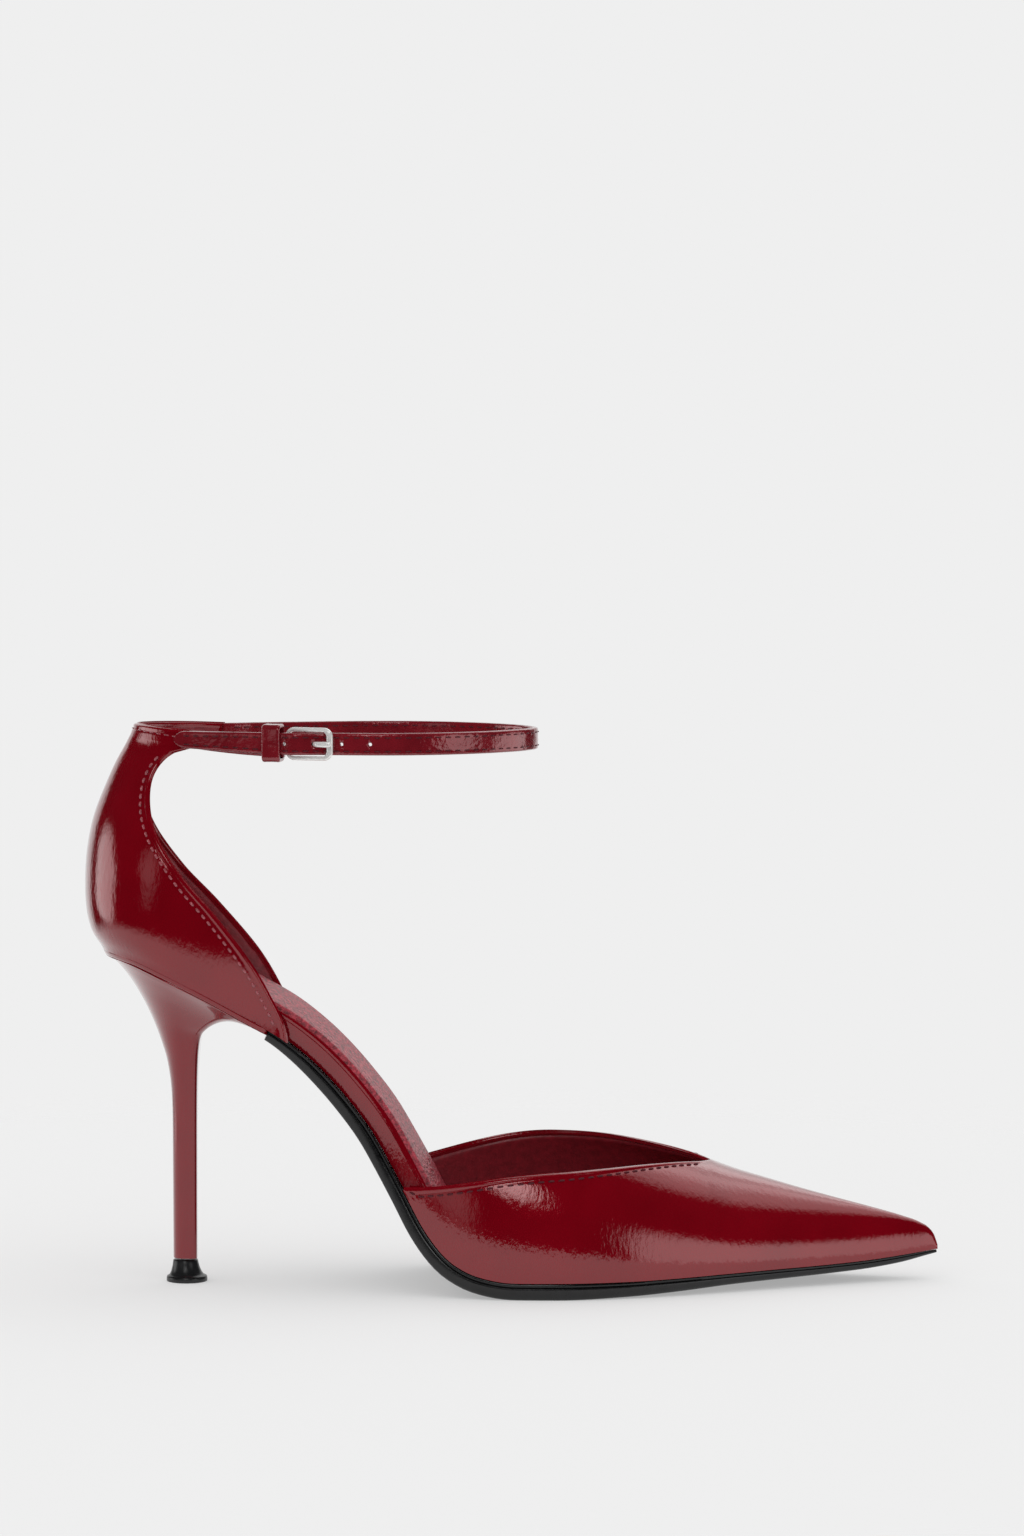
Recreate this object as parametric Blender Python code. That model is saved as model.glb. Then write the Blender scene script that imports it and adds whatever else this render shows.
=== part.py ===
"""Ankle strap pump for the right foot: pointed vamp, open sides, closed counter, stiletto heel.

Metres, +Z up. The origin is the centre of the heel tip's base on the floor, +X runs to the toe
and +Y to the medial side, so the buckle is on the -Y side.
"""

import math
from types import SimpleNamespace

import bmesh
import bpy
import numpy as np
from mathutils import Vector

# Overall sizes
SEAT_OVERHANG = 0.02365
SOLE_LENGTH = 0.2387
SEAT_HEIGHT = 0.0963
BALL_WIDTH = 0.0760
SEAT_WIDTH = 0.0496
TOE_RISE = 0.0038
TOE_SWING = 0.0040
GAP = 0.0003

# Sole and insole
SOLE_THICKNESS = 0.0046
SOLE_STEP = 0.0006
SOLE_BEVEL = 0.0013
SOLE_START = 0.0258
INSOLE_THICKNESS = 0.0062
INSOLE_TOE_MARGIN = 0.0160
SOCK_THICKNESS = 0.0010
SOCK_INSET = 0.0005

# Heel
STEM_DEPTH = 0.0069
STEM_WIDTH = 0.0076
STEM_SET_BACK = 0.0004
BREAST_REACH = 0.0246
STRIP_HEIGHT = 0.0016
STRIP_PROUD = 0.0003
TIP_HEIGHT = 0.0066
TIP_TOP_DIAMETER = 0.0071
TIP_BASE_DIAMETER = 0.0117

# Upper
UPPER_WALL = 0.0017
COUNTER_BULGE = 0.0049
MEDIAL_SET_BACK = 0.0034
VAMP_START_SHARE = 0.3597
THROAT_SHARE = 0.7275
THROAT_HEIGHT = 0.0350
TOE_OVERHANG = 0.0003
TOE_PUFF = 0.0070
NARROW_TOE = 0.0120

# Ankle strap, measured on its middle layer
STRAP_WIDTH = 0.0063
STRAP_THICKNESS = 0.0016
STRAP_RISE = 0.0596
COUNTER_PEAK = 0.00135
RING_LENGTH = 0.0998
RING_HALF_WIDTH = 0.0288
LATERAL_WING = 0.0026
MEDIAL_WING = 0.0102
STRAP_TIP = -0.0010
STRAP_TIP_TAPER = 0.0016
WING_EDGE_RISE = 0.0014
BUCKLE_STRAP_DROP = 0.0007

# Buckle and keeper
HINGE_PLACE = 0.0302
BUCKLE_LENGTH = 0.0128
BUCKLE_WIRE = 0.0012
BUCKLE_CORNER = 0.0020
PRONG_WIDTH = 0.0015
PRONG_THICKNESS = 0.0009
KEEPER_PLACE = 0.0263
KEEPER_WIDTH = 0.0052
KEEPER_WALL = 0.0010
KEEPER_SLACK = 0.0013

# Fineness of the bottom: distances between its cross sections, its soft edges and its ends
SOLE_STATION = 0.0046
INSOLE_STATION = 0.0052
TOE_STATION = 0.0040
HEEL_STATION = 0.0050
CLOSEST_STATIONS = 0.0003
INSOLE_EDGE = 0.0008
SOCK_EDGE = 0.0005
NARROWEST_HALF = 0.0009
SLOPE_STEP = 0.0004

# Places that follow from the sizes above
SOLE_FRONT = SOLE_LENGTH - SEAT_OVERHANG
VAMP_START = VAMP_START_SHARE * SOLE_LENGTH - SEAT_OVERHANG
THROAT_POINT = THROAT_SHARE * SOLE_LENGTH - SEAT_OVERHANG
TOE_TIP = SOLE_FRONT + TOE_OVERHANG
STRAP_CENTRE_HEIGHT = SEAT_HEIGHT + STRAP_RISE
COUNTER_HEIGHT = STRAP_RISE + STRAP_WIDTH / 2 + COUNTER_PEAK

BURGUNDY = (0.110, 0.002, 0.006, 1.0)
LINING_RED = (0.170, 0.012, 0.018, 1.0)
BLACK = (0.010, 0.010, 0.011, 1.0)
SILVER = (0.720, 0.720, 0.700, 1.0)

# Edge line of the sole's top: along from the seat's back in sole lengths, rise in seat heights
# above the tread, toe in toe rises, half width in ball widths, swing in toe swings
SOLE_COLUMNS = ("along", "rise", "toe", "swing", "half", "sole", "insole")
SOLE_ROWS = (
    (0.000, 1.000, 0.00, 0.00, 0.326, 0.50, 1.00),
    (0.036, 0.983, 0.00, 0.00, 0.326, 0.50, 1.00),
    (0.074, 0.943, 0.00, 0.00, 0.327, 0.52, 1.00),
    (0.122, 0.880, 0.00, 0.00, 0.328, 0.55, 1.00),
    (0.168, 0.814, 0.00, -0.05, 0.325, 0.58, 1.00),
    (0.221, 0.733, 0.00, -0.15, 0.313, 0.70, 1.00),
    (0.262, 0.642, 0.00, -0.25, 0.303, 0.84, 1.00),
    (0.295, 0.546, 0.00, -0.30, 0.303, 0.88, 1.00),
    (0.325, 0.440, 0.00, -0.30, 0.314, 0.90, 1.00),
    (0.344, 0.353, 0.00, -0.28, 0.330, 0.90, 1.00),
    (0.362, 0.266, 0.00, -0.25, 0.352, 0.90, 1.00),
    (0.384, 0.160, 0.00, -0.20, 0.385, 0.92, 0.95),
    (0.410, 0.074, 0.00, -0.15, 0.423, 0.95, 0.86),
    (0.435, 0.031, 0.00, -0.10, 0.454, 0.98, 0.76),
    (0.461, 0.010, 0.00, -0.05, 0.477, 1.00, 0.66),
    (0.495, 0.000, 0.00, 0.00, 0.493, 1.00, 0.56),
    (0.545, 0.000, 0.00, 0.05, 0.500, 1.00, 0.48),
    (0.622, 0.000, 0.00, 0.15, 0.462, 0.90, 0.42),
    (0.688, 0.000, 0.06, 0.25, 0.395, 0.77, 0.38),
    (0.747, 0.000, 0.15, 0.36, 0.320, 0.64, 0.36),
    (0.807, 0.000, 0.23, 0.50, 0.240, 0.58, 0.34),
    (0.866, 0.000, 0.31, 0.66, 0.165, 0.52, 0.32),
    (0.925, 0.000, 0.50, 0.82, 0.095, 0.47, 0.30),
    (0.965, 0.000, 0.75, 0.92, 0.050, 0.38, 0.30),
    (0.988, 0.000, 0.92, 0.98, 0.026, 0.24, 0.30),
    (1.000, 0.000, 1.00, 1.00, 0.011, 0.16, 0.30),
)
HEEL_ROUNDING = 0.109
HEEL_ROUNDNESS = 2.1

# Heel from its tip to the seat: rises in the height above the tip, flare of the back and reach
# of the breast from the stem to the seat's edge, spread of the width, share that follows the seat
HEEL_COLUMNS = ("back_rise", "flare", "breast_rise", "reach", "spread", "follow")
HEEL_ROWS = (
    (0.003, 0.000, 0.003, 0.000, 0.000, 0.00),
    (0.315, 0.004, 0.315, 0.003, 0.010, 0.00),
    (0.470, 0.008, 0.470, 0.006, 0.025, 0.00),
    (0.560, 0.028, 0.556, 0.012, 0.060, 0.00),
    (0.636, 0.080, 0.622, 0.022, 0.115, 0.00),
    (0.694, 0.155, 0.678, 0.040, 0.200, 0.00),
    (0.742, 0.245, 0.715, 0.075, 0.300, 0.04),
    (0.800, 0.375, 0.733, 0.145, 0.430, 0.10),
    (0.856, 0.535, 0.750, 0.290, 0.590, 0.22),
    (0.908, 0.712, 0.757, 0.480, 0.760, 0.42),
    (0.950, 0.860, 0.749, 0.690, 0.890, 0.66),
    (0.974, 0.945, 0.734, 0.880, 0.965, 0.88),
)
STEM_CORNER = 0.0014
BLOCK_CORNER = 0.0030

# Counter from the seat to its top: back and front edge in the height and sole length, half width
# and rounding in the seat's width and length, roundness of its back in plan
COUNTER_COLUMNS = (
    "level", "back", "back_rise", "front", "front_rise", "half", "round", "power", "front_half",
    "medial"
)
COUNTER_ROWS = (
    (0.00, 0.000, 0.000, 0.2242, -0.372, 0.500, 0.54, 2.1, 0.485, 0.0),
    (0.08, 0.530, 0.060, 0.2195, -0.306, 0.520, 0.55, 2.1, 0.492, 0.0),
    (0.18, 0.840, 0.128, 0.2086, -0.215, 0.540, 0.56, 2.1, 0.510, 0.0),
    (0.30, 1.000, 0.222, 0.1826, -0.040, 0.556, 0.57, 2.1, 0.540, 0.2),
    (0.42, 1.000, 0.346, 0.1412, 0.167, 0.558, 0.57, 2.0, 0.552, 0.6),
    (0.54, 0.837, 0.471, 0.1014, 0.342, 0.545, 0.57, 2.0, 0.545, 0.9),
    (0.65, 0.469, 0.596, 0.0716, 0.513, 0.515, 0.57, 1.9, 0.515, 1.0),
    (0.75, -0.163, 0.720, 0.0603, 0.658, 0.470, 0.56, 1.8, 0.470, 1.0),
    (0.84, -0.816, 0.830, 0.0637, 0.783, 0.430, 0.54, 1.7, 0.430, 0.9),
    (0.91, -1.388, 0.908, 0.0783, 0.858, 0.408, 0.52, 1.6, 0.408, 0.5),
    (0.95, -1.640, 0.946, 0.0920, 0.890, 0.402, 0.51, 1.6, 0.402, 0.0),
)
COUNTER_TOP = (-1.918, 1.000, 0.402, 0.51, 1.6)
SEAT_FOLLOW_LEVELS = 0.42

# Vamp along its length: ridge in throat heights, where the sides stand and how wide the crest is
VAMP_COLUMNS = ("along", "ridge", "stand", "crest")
VAMP_ROWS = (
    (0.000, 1.900, 0.66, 0.70),
    (0.115, 1.770, 0.66, 0.72),
    (0.246, 1.570, 0.65, 0.72),
    (0.377, 1.345, 0.62, 0.68),
    (0.476, 1.160, 0.58, 0.62),
    (0.571, 1.000, 0.55, 0.56),
    (0.614, 0.930, 0.53, 0.54),
    (0.681, 0.840, 0.52, 0.52),
    (0.748, 0.752, 0.52, 0.51),
    (0.816, 0.669, 0.52, 0.51),
    (0.883, 0.589, 0.52, 0.52),
    (0.934, 0.523, 0.52, 0.54),
    (0.967, 0.469, 0.53, 0.56),
    (0.984, 0.421, 0.54, 0.58),
    (0.995, 0.352, 0.55, 0.60),
    (1.000, 0.285, 0.55, 0.60),
)
VAMP_BULGE = 0.055

# Topline of the vamp: along from its rear corner to the throat point, height in throat heights
TOPLINE_COLUMNS = ("along", "lateral", "medial")
TOPLINE_ROWS = (
    (0.000, 0.872, 0.905),
    (0.045, 0.878, 0.930),
    (0.105, 0.893, 0.966),
    (0.220, 0.938, 1.036),
    (0.330, 0.982, 1.096),
    (0.440, 1.008, 1.134),
    (0.550, 1.022, 1.143),
    (0.660, 1.034, 1.138),
    (0.780, 1.040, 1.108),
    (0.890, 1.030, 1.066),
    (1.000, 1.000, 1.000),
)

# Plan of the strap's ring in front of the wings: x in its reach, y in its half width
RING_ROWS = (
    (0.190, 0.760),
    (0.330, 0.875),
    (0.500, 0.988),
    (0.640, 0.985),
    (0.780, 0.835),
    (0.900, 0.560),
    (0.975, 0.250),
)


class Table:
    """Rows of named columns, read along the first column as smooth curves."""

    def __init__(self, columns, rows, flat_steps=False):
        self.columns = columns
        self.data = np.array(rows, float)
        self.keys = self.data[:, 0]
        self.slopes = [self._slopes(self.data[:, i], flat_steps) for i in range(len(columns))]

    def _slopes(self, values, flat_steps):
        steps = np.diff(self.keys)
        rates = np.diff(values) / steps
        slopes = np.empty(len(values))
        slopes[0], slopes[-1] = rates[0], rates[-1]
        for i in range(1, len(values) - 1):
            before, after = rates[i - 1], rates[i]
            slopes[i] = (before * steps[i] + after * steps[i - 1]) / (steps[i] + steps[i - 1])
            if flat_steps and before * after <= 0:
                slopes[i] = 0.0
        return slopes

    def at(self, key):
        key = min(max(key, self.keys[0]), self.keys[-1])
        i = int(min(max(np.searchsorted(self.keys, key) - 1, 0), len(self.keys) - 2))
        width = self.keys[i + 1] - self.keys[i]
        t = (key - self.keys[i]) / width
        found = {}
        for number, name in enumerate(self.columns):
            a, b = self.data[i, number], self.data[i + 1, number]
            start, end = self.slopes[number][i] * width, self.slopes[number][i + 1] * width
            found[name] = (
                a * (1 + 2 * t) * (1 - t) ** 2
                + start * t * (1 - t) ** 2
                + b * t * t * (3 - 2 * t)
                + end * t * t * (t - 1)
            )
        return SimpleNamespace(**found)


SOLE = Table(SOLE_COLUMNS, SOLE_ROWS, flat_steps=True)
HEEL = Table(("step",) + HEEL_COLUMNS, [(i,) + row for i, row in enumerate(HEEL_ROWS)])
COUNTER = Table(COUNTER_COLUMNS, COUNTER_ROWS)
VAMP = Table(VAMP_COLUMNS, VAMP_ROWS)
TOPLINE = Table(TOPLINE_COLUMNS, TOPLINE_ROWS)


def clear_scene():
    for obj in list(bpy.data.objects):
        bpy.data.objects.remove(obj, do_unlink=True)


def finish_material(name, colour, roughness, metallic, coat):
    material = bpy.data.materials.new(name)
    material.use_nodes = True
    shader = material.node_tree.nodes["Principled BSDF"]
    shader.inputs["Base Color"].default_value = colour
    shader.inputs["Roughness"].default_value = roughness
    shader.inputs["Metallic"].default_value = metallic
    shader.inputs["Coat Weight"].default_value = coat
    return material


def add_object(name, points, faces, material, sharp_degrees=35):
    """One closed body from points and faces, with its normals turned outwards."""
    mesh = bpy.data.meshes.new(name)
    mesh.from_pydata([tuple(p) for p in points], [], [tuple(f) for f in faces])
    body = bmesh.new()
    body.from_mesh(mesh)
    bmesh.ops.remove_doubles(body, verts=body.verts, dist=1e-6)
    bmesh.ops.recalc_face_normals(body, faces=body.faces)
    body.to_mesh(mesh)
    body.free()
    mesh.materials.append(material)
    mesh.shade_smooth()
    mesh.set_sharp_from_angle(angle=math.radians(sharp_degrees))
    obj = bpy.data.objects.new(name, mesh)
    bpy.context.scene.collection.objects.link(obj)
    return obj


def loft(loops):
    """Points and faces of a closed body through loops of one count, capped at both ends."""
    count = len(loops[0])
    points = [p for loop in loops for p in loop]
    faces = []
    for row in range(len(loops) - 1):
        for i in range(count):
            j = (i + 1) % count
            faces.append((row * count + i, row * count + j, (row + 1) * count + j,
                          (row + 1) * count + i))
    faces.append(tuple(range(count)))
    faces.append(tuple((len(loops) - 1) * count + i for i in reversed(range(count))))
    return points, faces


def ring_sweep(loops):
    """As loft, but the last loop joins the first."""
    count = len(loops[0])
    points = [p for loop in loops for p in loop]
    faces = []
    for row in range(len(loops)):
        after = (row + 1) % len(loops)
        for i in range(count):
            j = (i + 1) % count
            faces.append((row * count + i, row * count + j, after * count + j, after * count + i))
    return points, faces


def rounded(share, power):
    """Height of a superellipse from its end, 0, to its middle, 1."""
    share = min(max(share, 0.0), 1.0)
    return (1 - (1 - share) ** power) ** (1 / power)


# The edge line that every piece of the bottom follows

def sole_line(x):
    """Place, widths and thicknesses of the bottom at x."""
    along = (x + SEAT_OVERHANG) / SOLE_LENGTH
    row = SOLE.at(along)
    drop = SEAT_HEIGHT - SOLE_THICKNESS
    row.x = x
    row.z = SOLE_THICKNESS + row.rise * drop + row.toe * TOE_RISE
    seat_share = min(max(1 - along / 0.5, 0.0), 1.0)
    width = seat_share * SEAT_WIDTH / 0.656 + (1 - seat_share) * BALL_WIDTH
    row.flat_half = row.half * width
    row.half = row.flat_half * rounded(along / HEEL_ROUNDING, HEEL_ROUNDNESS)
    row.centre = row.swing * TOE_SWING
    row.sole_thickness = row.sole * SOLE_THICKNESS
    row.insole_thickness = row.insole * INSOLE_THICKNESS
    return row


def sole_frame(x):
    """The bottom at x, with the upward normal of its line in the XZ plane."""
    row = sole_line(x)
    before, after = sole_line(x - SLOPE_STEP), sole_line(x + SLOPE_STEP)
    run, climb = 2 * SLOPE_STEP, after.z - before.z
    size = math.hypot(run, climb)
    row.nx, row.nz = -climb / size, run / size
    return row


def even_stations(start, end, step, start_cluster=0.0, end_cluster=0.0):
    """Places in x between start and end, evenly spaced along the sole's line."""
    fine = np.linspace(start, end, 1500)
    heights = np.array([sole_line(x).z for x in fine])
    length = np.concatenate([[0], np.cumsum(np.hypot(np.diff(fine), np.diff(heights)))])
    count = max(4, round(length[-1] / step))
    places = list(np.interp(np.linspace(0, length[-1], count + 1), length, fine))
    for share in (0.10, 0.30, 0.60):
        if start_cluster:
            places.append(start + share * start_cluster)
        if end_cluster:
            places.append(end - share * end_cluster)
    places = sorted(places)
    kept = [places[0]]
    for x in places[1:-1]:
        if x - kept[-1] > CLOSEST_STATIONS and places[-1] - x > CLOSEST_STATIONS:
            kept.append(x)
    return kept + [places[-1]]


def slab_loops(places, section):
    """Loops across the bottom: section gives (across, up) pairs for the row at each place."""
    loops = []
    for x in places:
        row = sole_frame(x)
        loop = []
        for across, up in section(row):
            height = row.z + row.nz * up
            loop.append((row.x + row.nx * up, row.centre + across, max(height, 0.0)))
        loops.append(loop)
    return loops


def make_outsole(material):
    def section(row):
        deep = row.sole_thickness
        half = max(row.half, NARROWEST_HALF)
        step = min(SOLE_STEP, half * 0.4)
        bevel = min(SOLE_BEVEL, half * 0.5)
        right = (
            (half - step, 0.0),
            (half - step, -0.25 * deep),
            (half, -0.30 * deep),
            (half - 0.2 * bevel, -0.72 * deep),
            (half - bevel, -deep),
        )
        return [(-a, up) for a, up in right] + [(a, up) for a, up in reversed(right)]

    places = even_stations(SOLE_START, SOLE_FRONT, SOLE_STATION, end_cluster=TOE_STATION)
    points, faces = loft(slab_loops(places, section))
    return add_object("outsole", points, faces, material)


def inset_half(row, inset):
    """Half width of the bottom's outline moved inwards, at the heel's round end too."""
    run = row.x + SEAT_OVERHANG - inset
    share = run / (HEEL_ROUNDING * SOLE_LENGTH - inset)
    return max((row.flat_half - inset) * rounded(share, HEEL_ROUNDNESS), NARROWEST_HALF)


def insole_half(row):
    return inset_half(row, UPPER_WALL + GAP)


def insole_places():
    back = -SEAT_OVERHANG + UPPER_WALL + GAP
    return even_stations(back, SOLE_FRONT - INSOLE_TOE_MARGIN, INSOLE_STATION,
                         start_cluster=HEEL_STATION)


def make_insole(material):
    def section(row):
        half = insole_half(row)
        top = GAP + row.insole_thickness
        soft = min(INSOLE_EDGE, half * 0.4)
        right = ((half, GAP), (half, top - soft), (half - soft, top))
        return [(-a, up) for a, up in right] + [(a, up) for a, up in reversed(right)]

    points, faces = loft(slab_loops(insole_places(), section))
    return add_object("insole", points, faces, material)


def make_sock(material):
    def section(row):
        half = inset_half(row, UPPER_WALL + GAP + SOCK_INSET)
        low = 2 * GAP + row.insole_thickness
        top = low + SOCK_THICKNESS
        soft = min(SOCK_EDGE, half * 0.4)
        right = ((half, low), (half, top - soft), (half - soft, top))
        return [(-a, up) for a, up in right] + [(a, up) for a, up in reversed(right)]

    places = insole_places()
    places[0] += SOCK_INSET
    places[-1] -= SOCK_INSET
    points, faces = loft(slab_loops(places, section))
    return add_object("sock", points, faces, material)


# Heel

def heel_outline(length, half, corner):
    """(along, across) pairs of a D: round at the back, flat at the breast."""
    reach = 0.55 * length
    corner = min(corner, 0.42 * half, 0.3 * length)
    side = [(reach * (1 - math.cos(math.pi / 2 * k / 8)), 0) for k in range(0, 9)]
    side = [(a, half * rounded(a / reach, HEEL_ROUNDNESS)) for a, _ in side]
    side.append(((reach + length - corner) / 2, half))
    for k in range(4):
        turn = math.pi / 2 * k / 3
        side.append((length - corner * (1 - math.sin(turn)), half - corner * (1 - math.cos(turn))))
    return side + [(a, -y) for a, y in reversed(side[1:])]


def heel_loop(row, proud=0.0, drop=0.0):
    rise = SEAT_HEIGHT - TIP_HEIGHT
    back_x = -STEM_SET_BACK - STEM_DEPTH / 2
    back_x -= row.flare * (SEAT_OVERHANG + back_x)
    breast_x = -STEM_SET_BACK + STEM_DEPTH / 2
    breast_x += row.reach * (BREAST_REACH - breast_x)
    back_z = TIP_HEIGHT + row.back_rise * rise
    breast_z = TIP_HEIGHT + row.breast_rise * rise
    half = STEM_WIDTH / 2 + row.spread * (SEAT_WIDTH - STEM_WIDTH) / 2
    corner = STEM_CORNER + row.spread * (BLOCK_CORNER - STEM_CORNER)
    back_x -= proud
    length = breast_x - back_x
    loop = []
    for along, across in heel_outline(length, half + proud, corner):
        x = back_x + along
        chord = back_z + (breast_z - back_z) * along / length
        seat = sole_line(max(x, -SEAT_OVERHANG)).z - drop
        loop.append((x, across, chord + row.follow * (seat - chord)))
    return loop


def make_heel(material):
    steps = [0, 1, 2, 2.5, 3, 3.5, 4, 4.5, 5, 5.5, 6, 6.5, 7, 7.5, 8, 9, 10, 11]
    loops = []
    for step in steps:
        row = HEEL.at(step)
        loops.append(heel_loop(row, drop=STRIP_HEIGHT))
    seat = SimpleNamespace(back_rise=1.0, flare=1.0, breast_rise=0.75, reach=1.0, spread=1.0,
                           follow=1.0)
    loops.append(heel_loop(seat, drop=STRIP_HEIGHT))
    loops.append(heel_loop(seat, proud=STRIP_PROUD, drop=0.8 * STRIP_HEIGHT))
    loops.append(heel_loop(seat, proud=STRIP_PROUD, drop=0.2 * STRIP_HEIGHT))
    loops.append(heel_loop(seat, drop=0.0))
    points, faces = loft(loops)
    return add_object("heel", points, faces, material, sharp_degrees=50)


def make_heel_tip(material):
    top = TIP_HEIGHT - GAP
    profile = (
        (TIP_TOP_DIAMETER / 2, top, -STEM_SET_BACK),
        (0.54 * TIP_TOP_DIAMETER, 0.72 * top, -0.8 * STEM_SET_BACK),
        (0.62 * TIP_TOP_DIAMETER, 0.44 * top, -0.5 * STEM_SET_BACK),
        (0.42 * TIP_BASE_DIAMETER, 0.30 * top, -0.2 * STEM_SET_BACK),
        (0.47 * TIP_BASE_DIAMETER, 0.25 * top, 0.0),
        (0.50 * TIP_BASE_DIAMETER, 0.10 * top, 0.0),
        (0.50 * TIP_BASE_DIAMETER, 0.0, 0.0),
    )
    loops = []
    for radius, height, shift in profile:
        loops.append([
            (shift + radius * math.cos(2 * math.pi * k / 28), radius * math.sin(2 * math.pi * k / 28),
             height) for k in range(28)
        ])
    points, faces = loft(loops)
    return add_object("heel_tip", points, faces, material)


# Counter

def counter_row(level):
    """Back point, front point and plan shape of the counter at a level from 0 to 1."""
    last = COUNTER_ROWS[-1][0]
    row = COUNTER.at(min(level, last))
    if level > last:
        share = (level - last) / (1 - last)
        back, back_rise, half, round_share, power = COUNTER_TOP
        row.back += share * (back - row.back)
        row.back_rise += share * (back_rise - row.back_rise)
        row.half += share * (half - row.half)
        row.round += share * (round_share - row.round)
        row.power += share * (power - row.power)
        row.front_half = row.half
    seat_length = SEAT_OVERHANG + BREAST_REACH
    row.back_x = -SEAT_OVERHANG - row.back * COUNTER_BULGE
    row.back_z = SEAT_HEIGHT + row.back_rise * COUNTER_HEIGHT
    row.front_x = -SEAT_OVERHANG + row.front * SOLE_LENGTH
    row.front_z = SEAT_HEIGHT + row.front_rise * COUNTER_HEIGHT
    row.reach = row.round * seat_length
    return row


def wing_front(level, side):
    """Front edge of a wing above its lower edge, or None below it."""
    last = COUNTER_ROWS[-1][0]
    if level < last:
        return None
    share = (level - last) / (1 - last)
    high = STRAP_CENTRE_HEIGHT + STRAP_WIDTH / 2
    if side > 0:
        return MEDIAL_WING, high - (1 - share) * STRAP_WIDTH
    return LATERAL_WING, high - (1 - share) * (STRAP_WIDTH - WING_EDGE_RISE)


def counter_point(level, share, side):
    """Outer face at a level, from the back, 0, to the front edge, 1, on one side."""
    row = counter_row(level)
    front = wing_front(level, side)
    set_back = row.medial * MEDIAL_SET_BACK if side > 0 else 0.0
    front_x, front_z = front or (row.front_x - set_back, row.front_z)
    span = front_x - row.back_x
    run = (1 - math.cos(math.pi / 2 * share)) * span
    x = row.back_x + run
    climb = run / span
    z = row.back_z + (front_z - row.back_z) * climb
    follow = max(0.0, 1 - level / SEAT_FOLLOW_LEVELS)
    seat_back, seat_front = SEAT_HEIGHT, sole_line(front_x).z
    seat_chord = seat_back + (seat_front - seat_back) * climb
    seat = sole_line(max(x, -SEAT_OVERHANG)).z
    z += follow * (seat - seat_chord)
    half = row.half * SEAT_WIDTH
    y = half * rounded(run / row.reach, row.power)
    if run > row.reach and span > row.reach:
        past = (run - row.reach) / (span - row.reach)
        y -= (row.half - row.front_half) * SEAT_WIDTH * past ** 2
    return np.array((x, side * y, z))


def grid_normals(grid):
    """Unit normals of a grid of points, from central differences."""
    along = np.gradient(grid, axis=0)
    across = np.gradient(grid, axis=1)
    normal = np.cross(along, across)
    size = np.linalg.norm(normal, axis=2, keepdims=True)
    return normal / np.maximum(size, 1e-12)


def shell_faces(rows, columns):
    """Faces of an outer grid, an inner grid after it, and the rim between them."""
    faces = []
    inner = rows * columns

    def quad(a, b, c, d):
        faces.append((a, b, c, d))

    for i in range(rows - 1):
        for j in range(columns - 1):
            a = i * columns + j
            quad(a, a + 1, a + columns + 1, a + columns)
            quad(inner + a, inner + a + columns, inner + a + columns + 1, inner + a + 1)
    for j in range(columns - 1):
        last = (rows - 1) * columns + j
        quad(j, inner + j, inner + j + 1, j + 1)
        quad(last, last + 1, inner + last + 1, inner + last)
    for i in range(rows - 1):
        first, last = i * columns, i * columns + columns - 1
        quad(first, first + columns, inner + first + columns, inner + first)
        quad(last, inner + last, inner + last + columns, last + columns)
    return faces


def make_counter(material):
    levels = [0, 0.05, 0.11, 0.18, 0.26, 0.34, 0.42, 0.50, 0.58, 0.65, 0.71, 0.77, 0.83, 0.87,
              0.91, 0.93, 0.95, 0.975, 1.0]
    shares = [k / 12 for k in range(12, -1, -1)]
    grid = []
    for level in levels:
        lateral = [counter_point(level, share, -1) for share in shares]
        medial = [counter_point(level, share, 1) for share in reversed(shares[:-1])]
        grid.append(lateral + medial)
    outer = np.array(grid)
    outer[0, :, 2] += GAP
    normal = grid_normals(outer)
    for edge in (0, -1):
        normal[edge, :, 2] = 0
        normal[edge] /= np.linalg.norm(normal[edge], axis=1, keepdims=True)
    middle = outer.shape[1] // 2
    if normal[3, middle, 0] > 0:
        normal = -normal
    inner = outer - UPPER_WALL * normal
    points = list(outer.reshape(-1, 3)) + list(inner.reshape(-1, 3))
    return add_object("counter", points, shell_faces(*outer.shape[:2]), material,
                      sharp_degrees=50)


# Vamp

def vamp_section(x, side, inset=0.0):
    """Function of t from the sole's edge, 0, to the ridge, 1, giving (y, z) of the vamp at x."""
    row = sole_line(min(x, SOLE_FRONT))
    form = VAMP.at((x - VAMP_START) / (TOE_TIP - VAMP_START))
    ridge = form.ridge * THROAT_HEIGHT - inset
    low = row.z + GAP
    half = max(row.half - inset, SLOPE_STEP)
    height = max(ridge - low, SLOPE_STEP)
    swell = half * (1 + VAMP_BULGE * min(1.0, half / NARROW_TOE))
    corners = (
        (half, low),
        (swell, low + form.stand * height),
        (form.crest * half, ridge),
        (0.0, ridge),
    )

    def point(t):
        weights = ((1 - t) ** 3, 3 * t * (1 - t) ** 2, 3 * t * t * (1 - t), t ** 3)
        y = sum(w * c[0] for w, c in zip(weights, corners))
        z = sum(w * c[1] for w, c in zip(weights, corners))
        return row.centre + side * y, z

    return point


def topline_share(x, side):
    """Share of the section at which the vamp's top edge lies, 1 in front of the throat point."""
    if x >= THROAT_POINT:
        return 1.0
    row = TOPLINE.at((x - VAMP_START) / (THROAT_POINT - VAMP_START))
    height = (row.lateral if side < 0 else row.medial) * THROAT_HEIGHT
    point = vamp_section(x, side)
    low, high = 0.0, 1.0
    for _ in range(40):
        middle = (low + high) / 2
        if point(middle)[1] < height:
            low = middle
        else:
            high = middle
    return low


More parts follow.
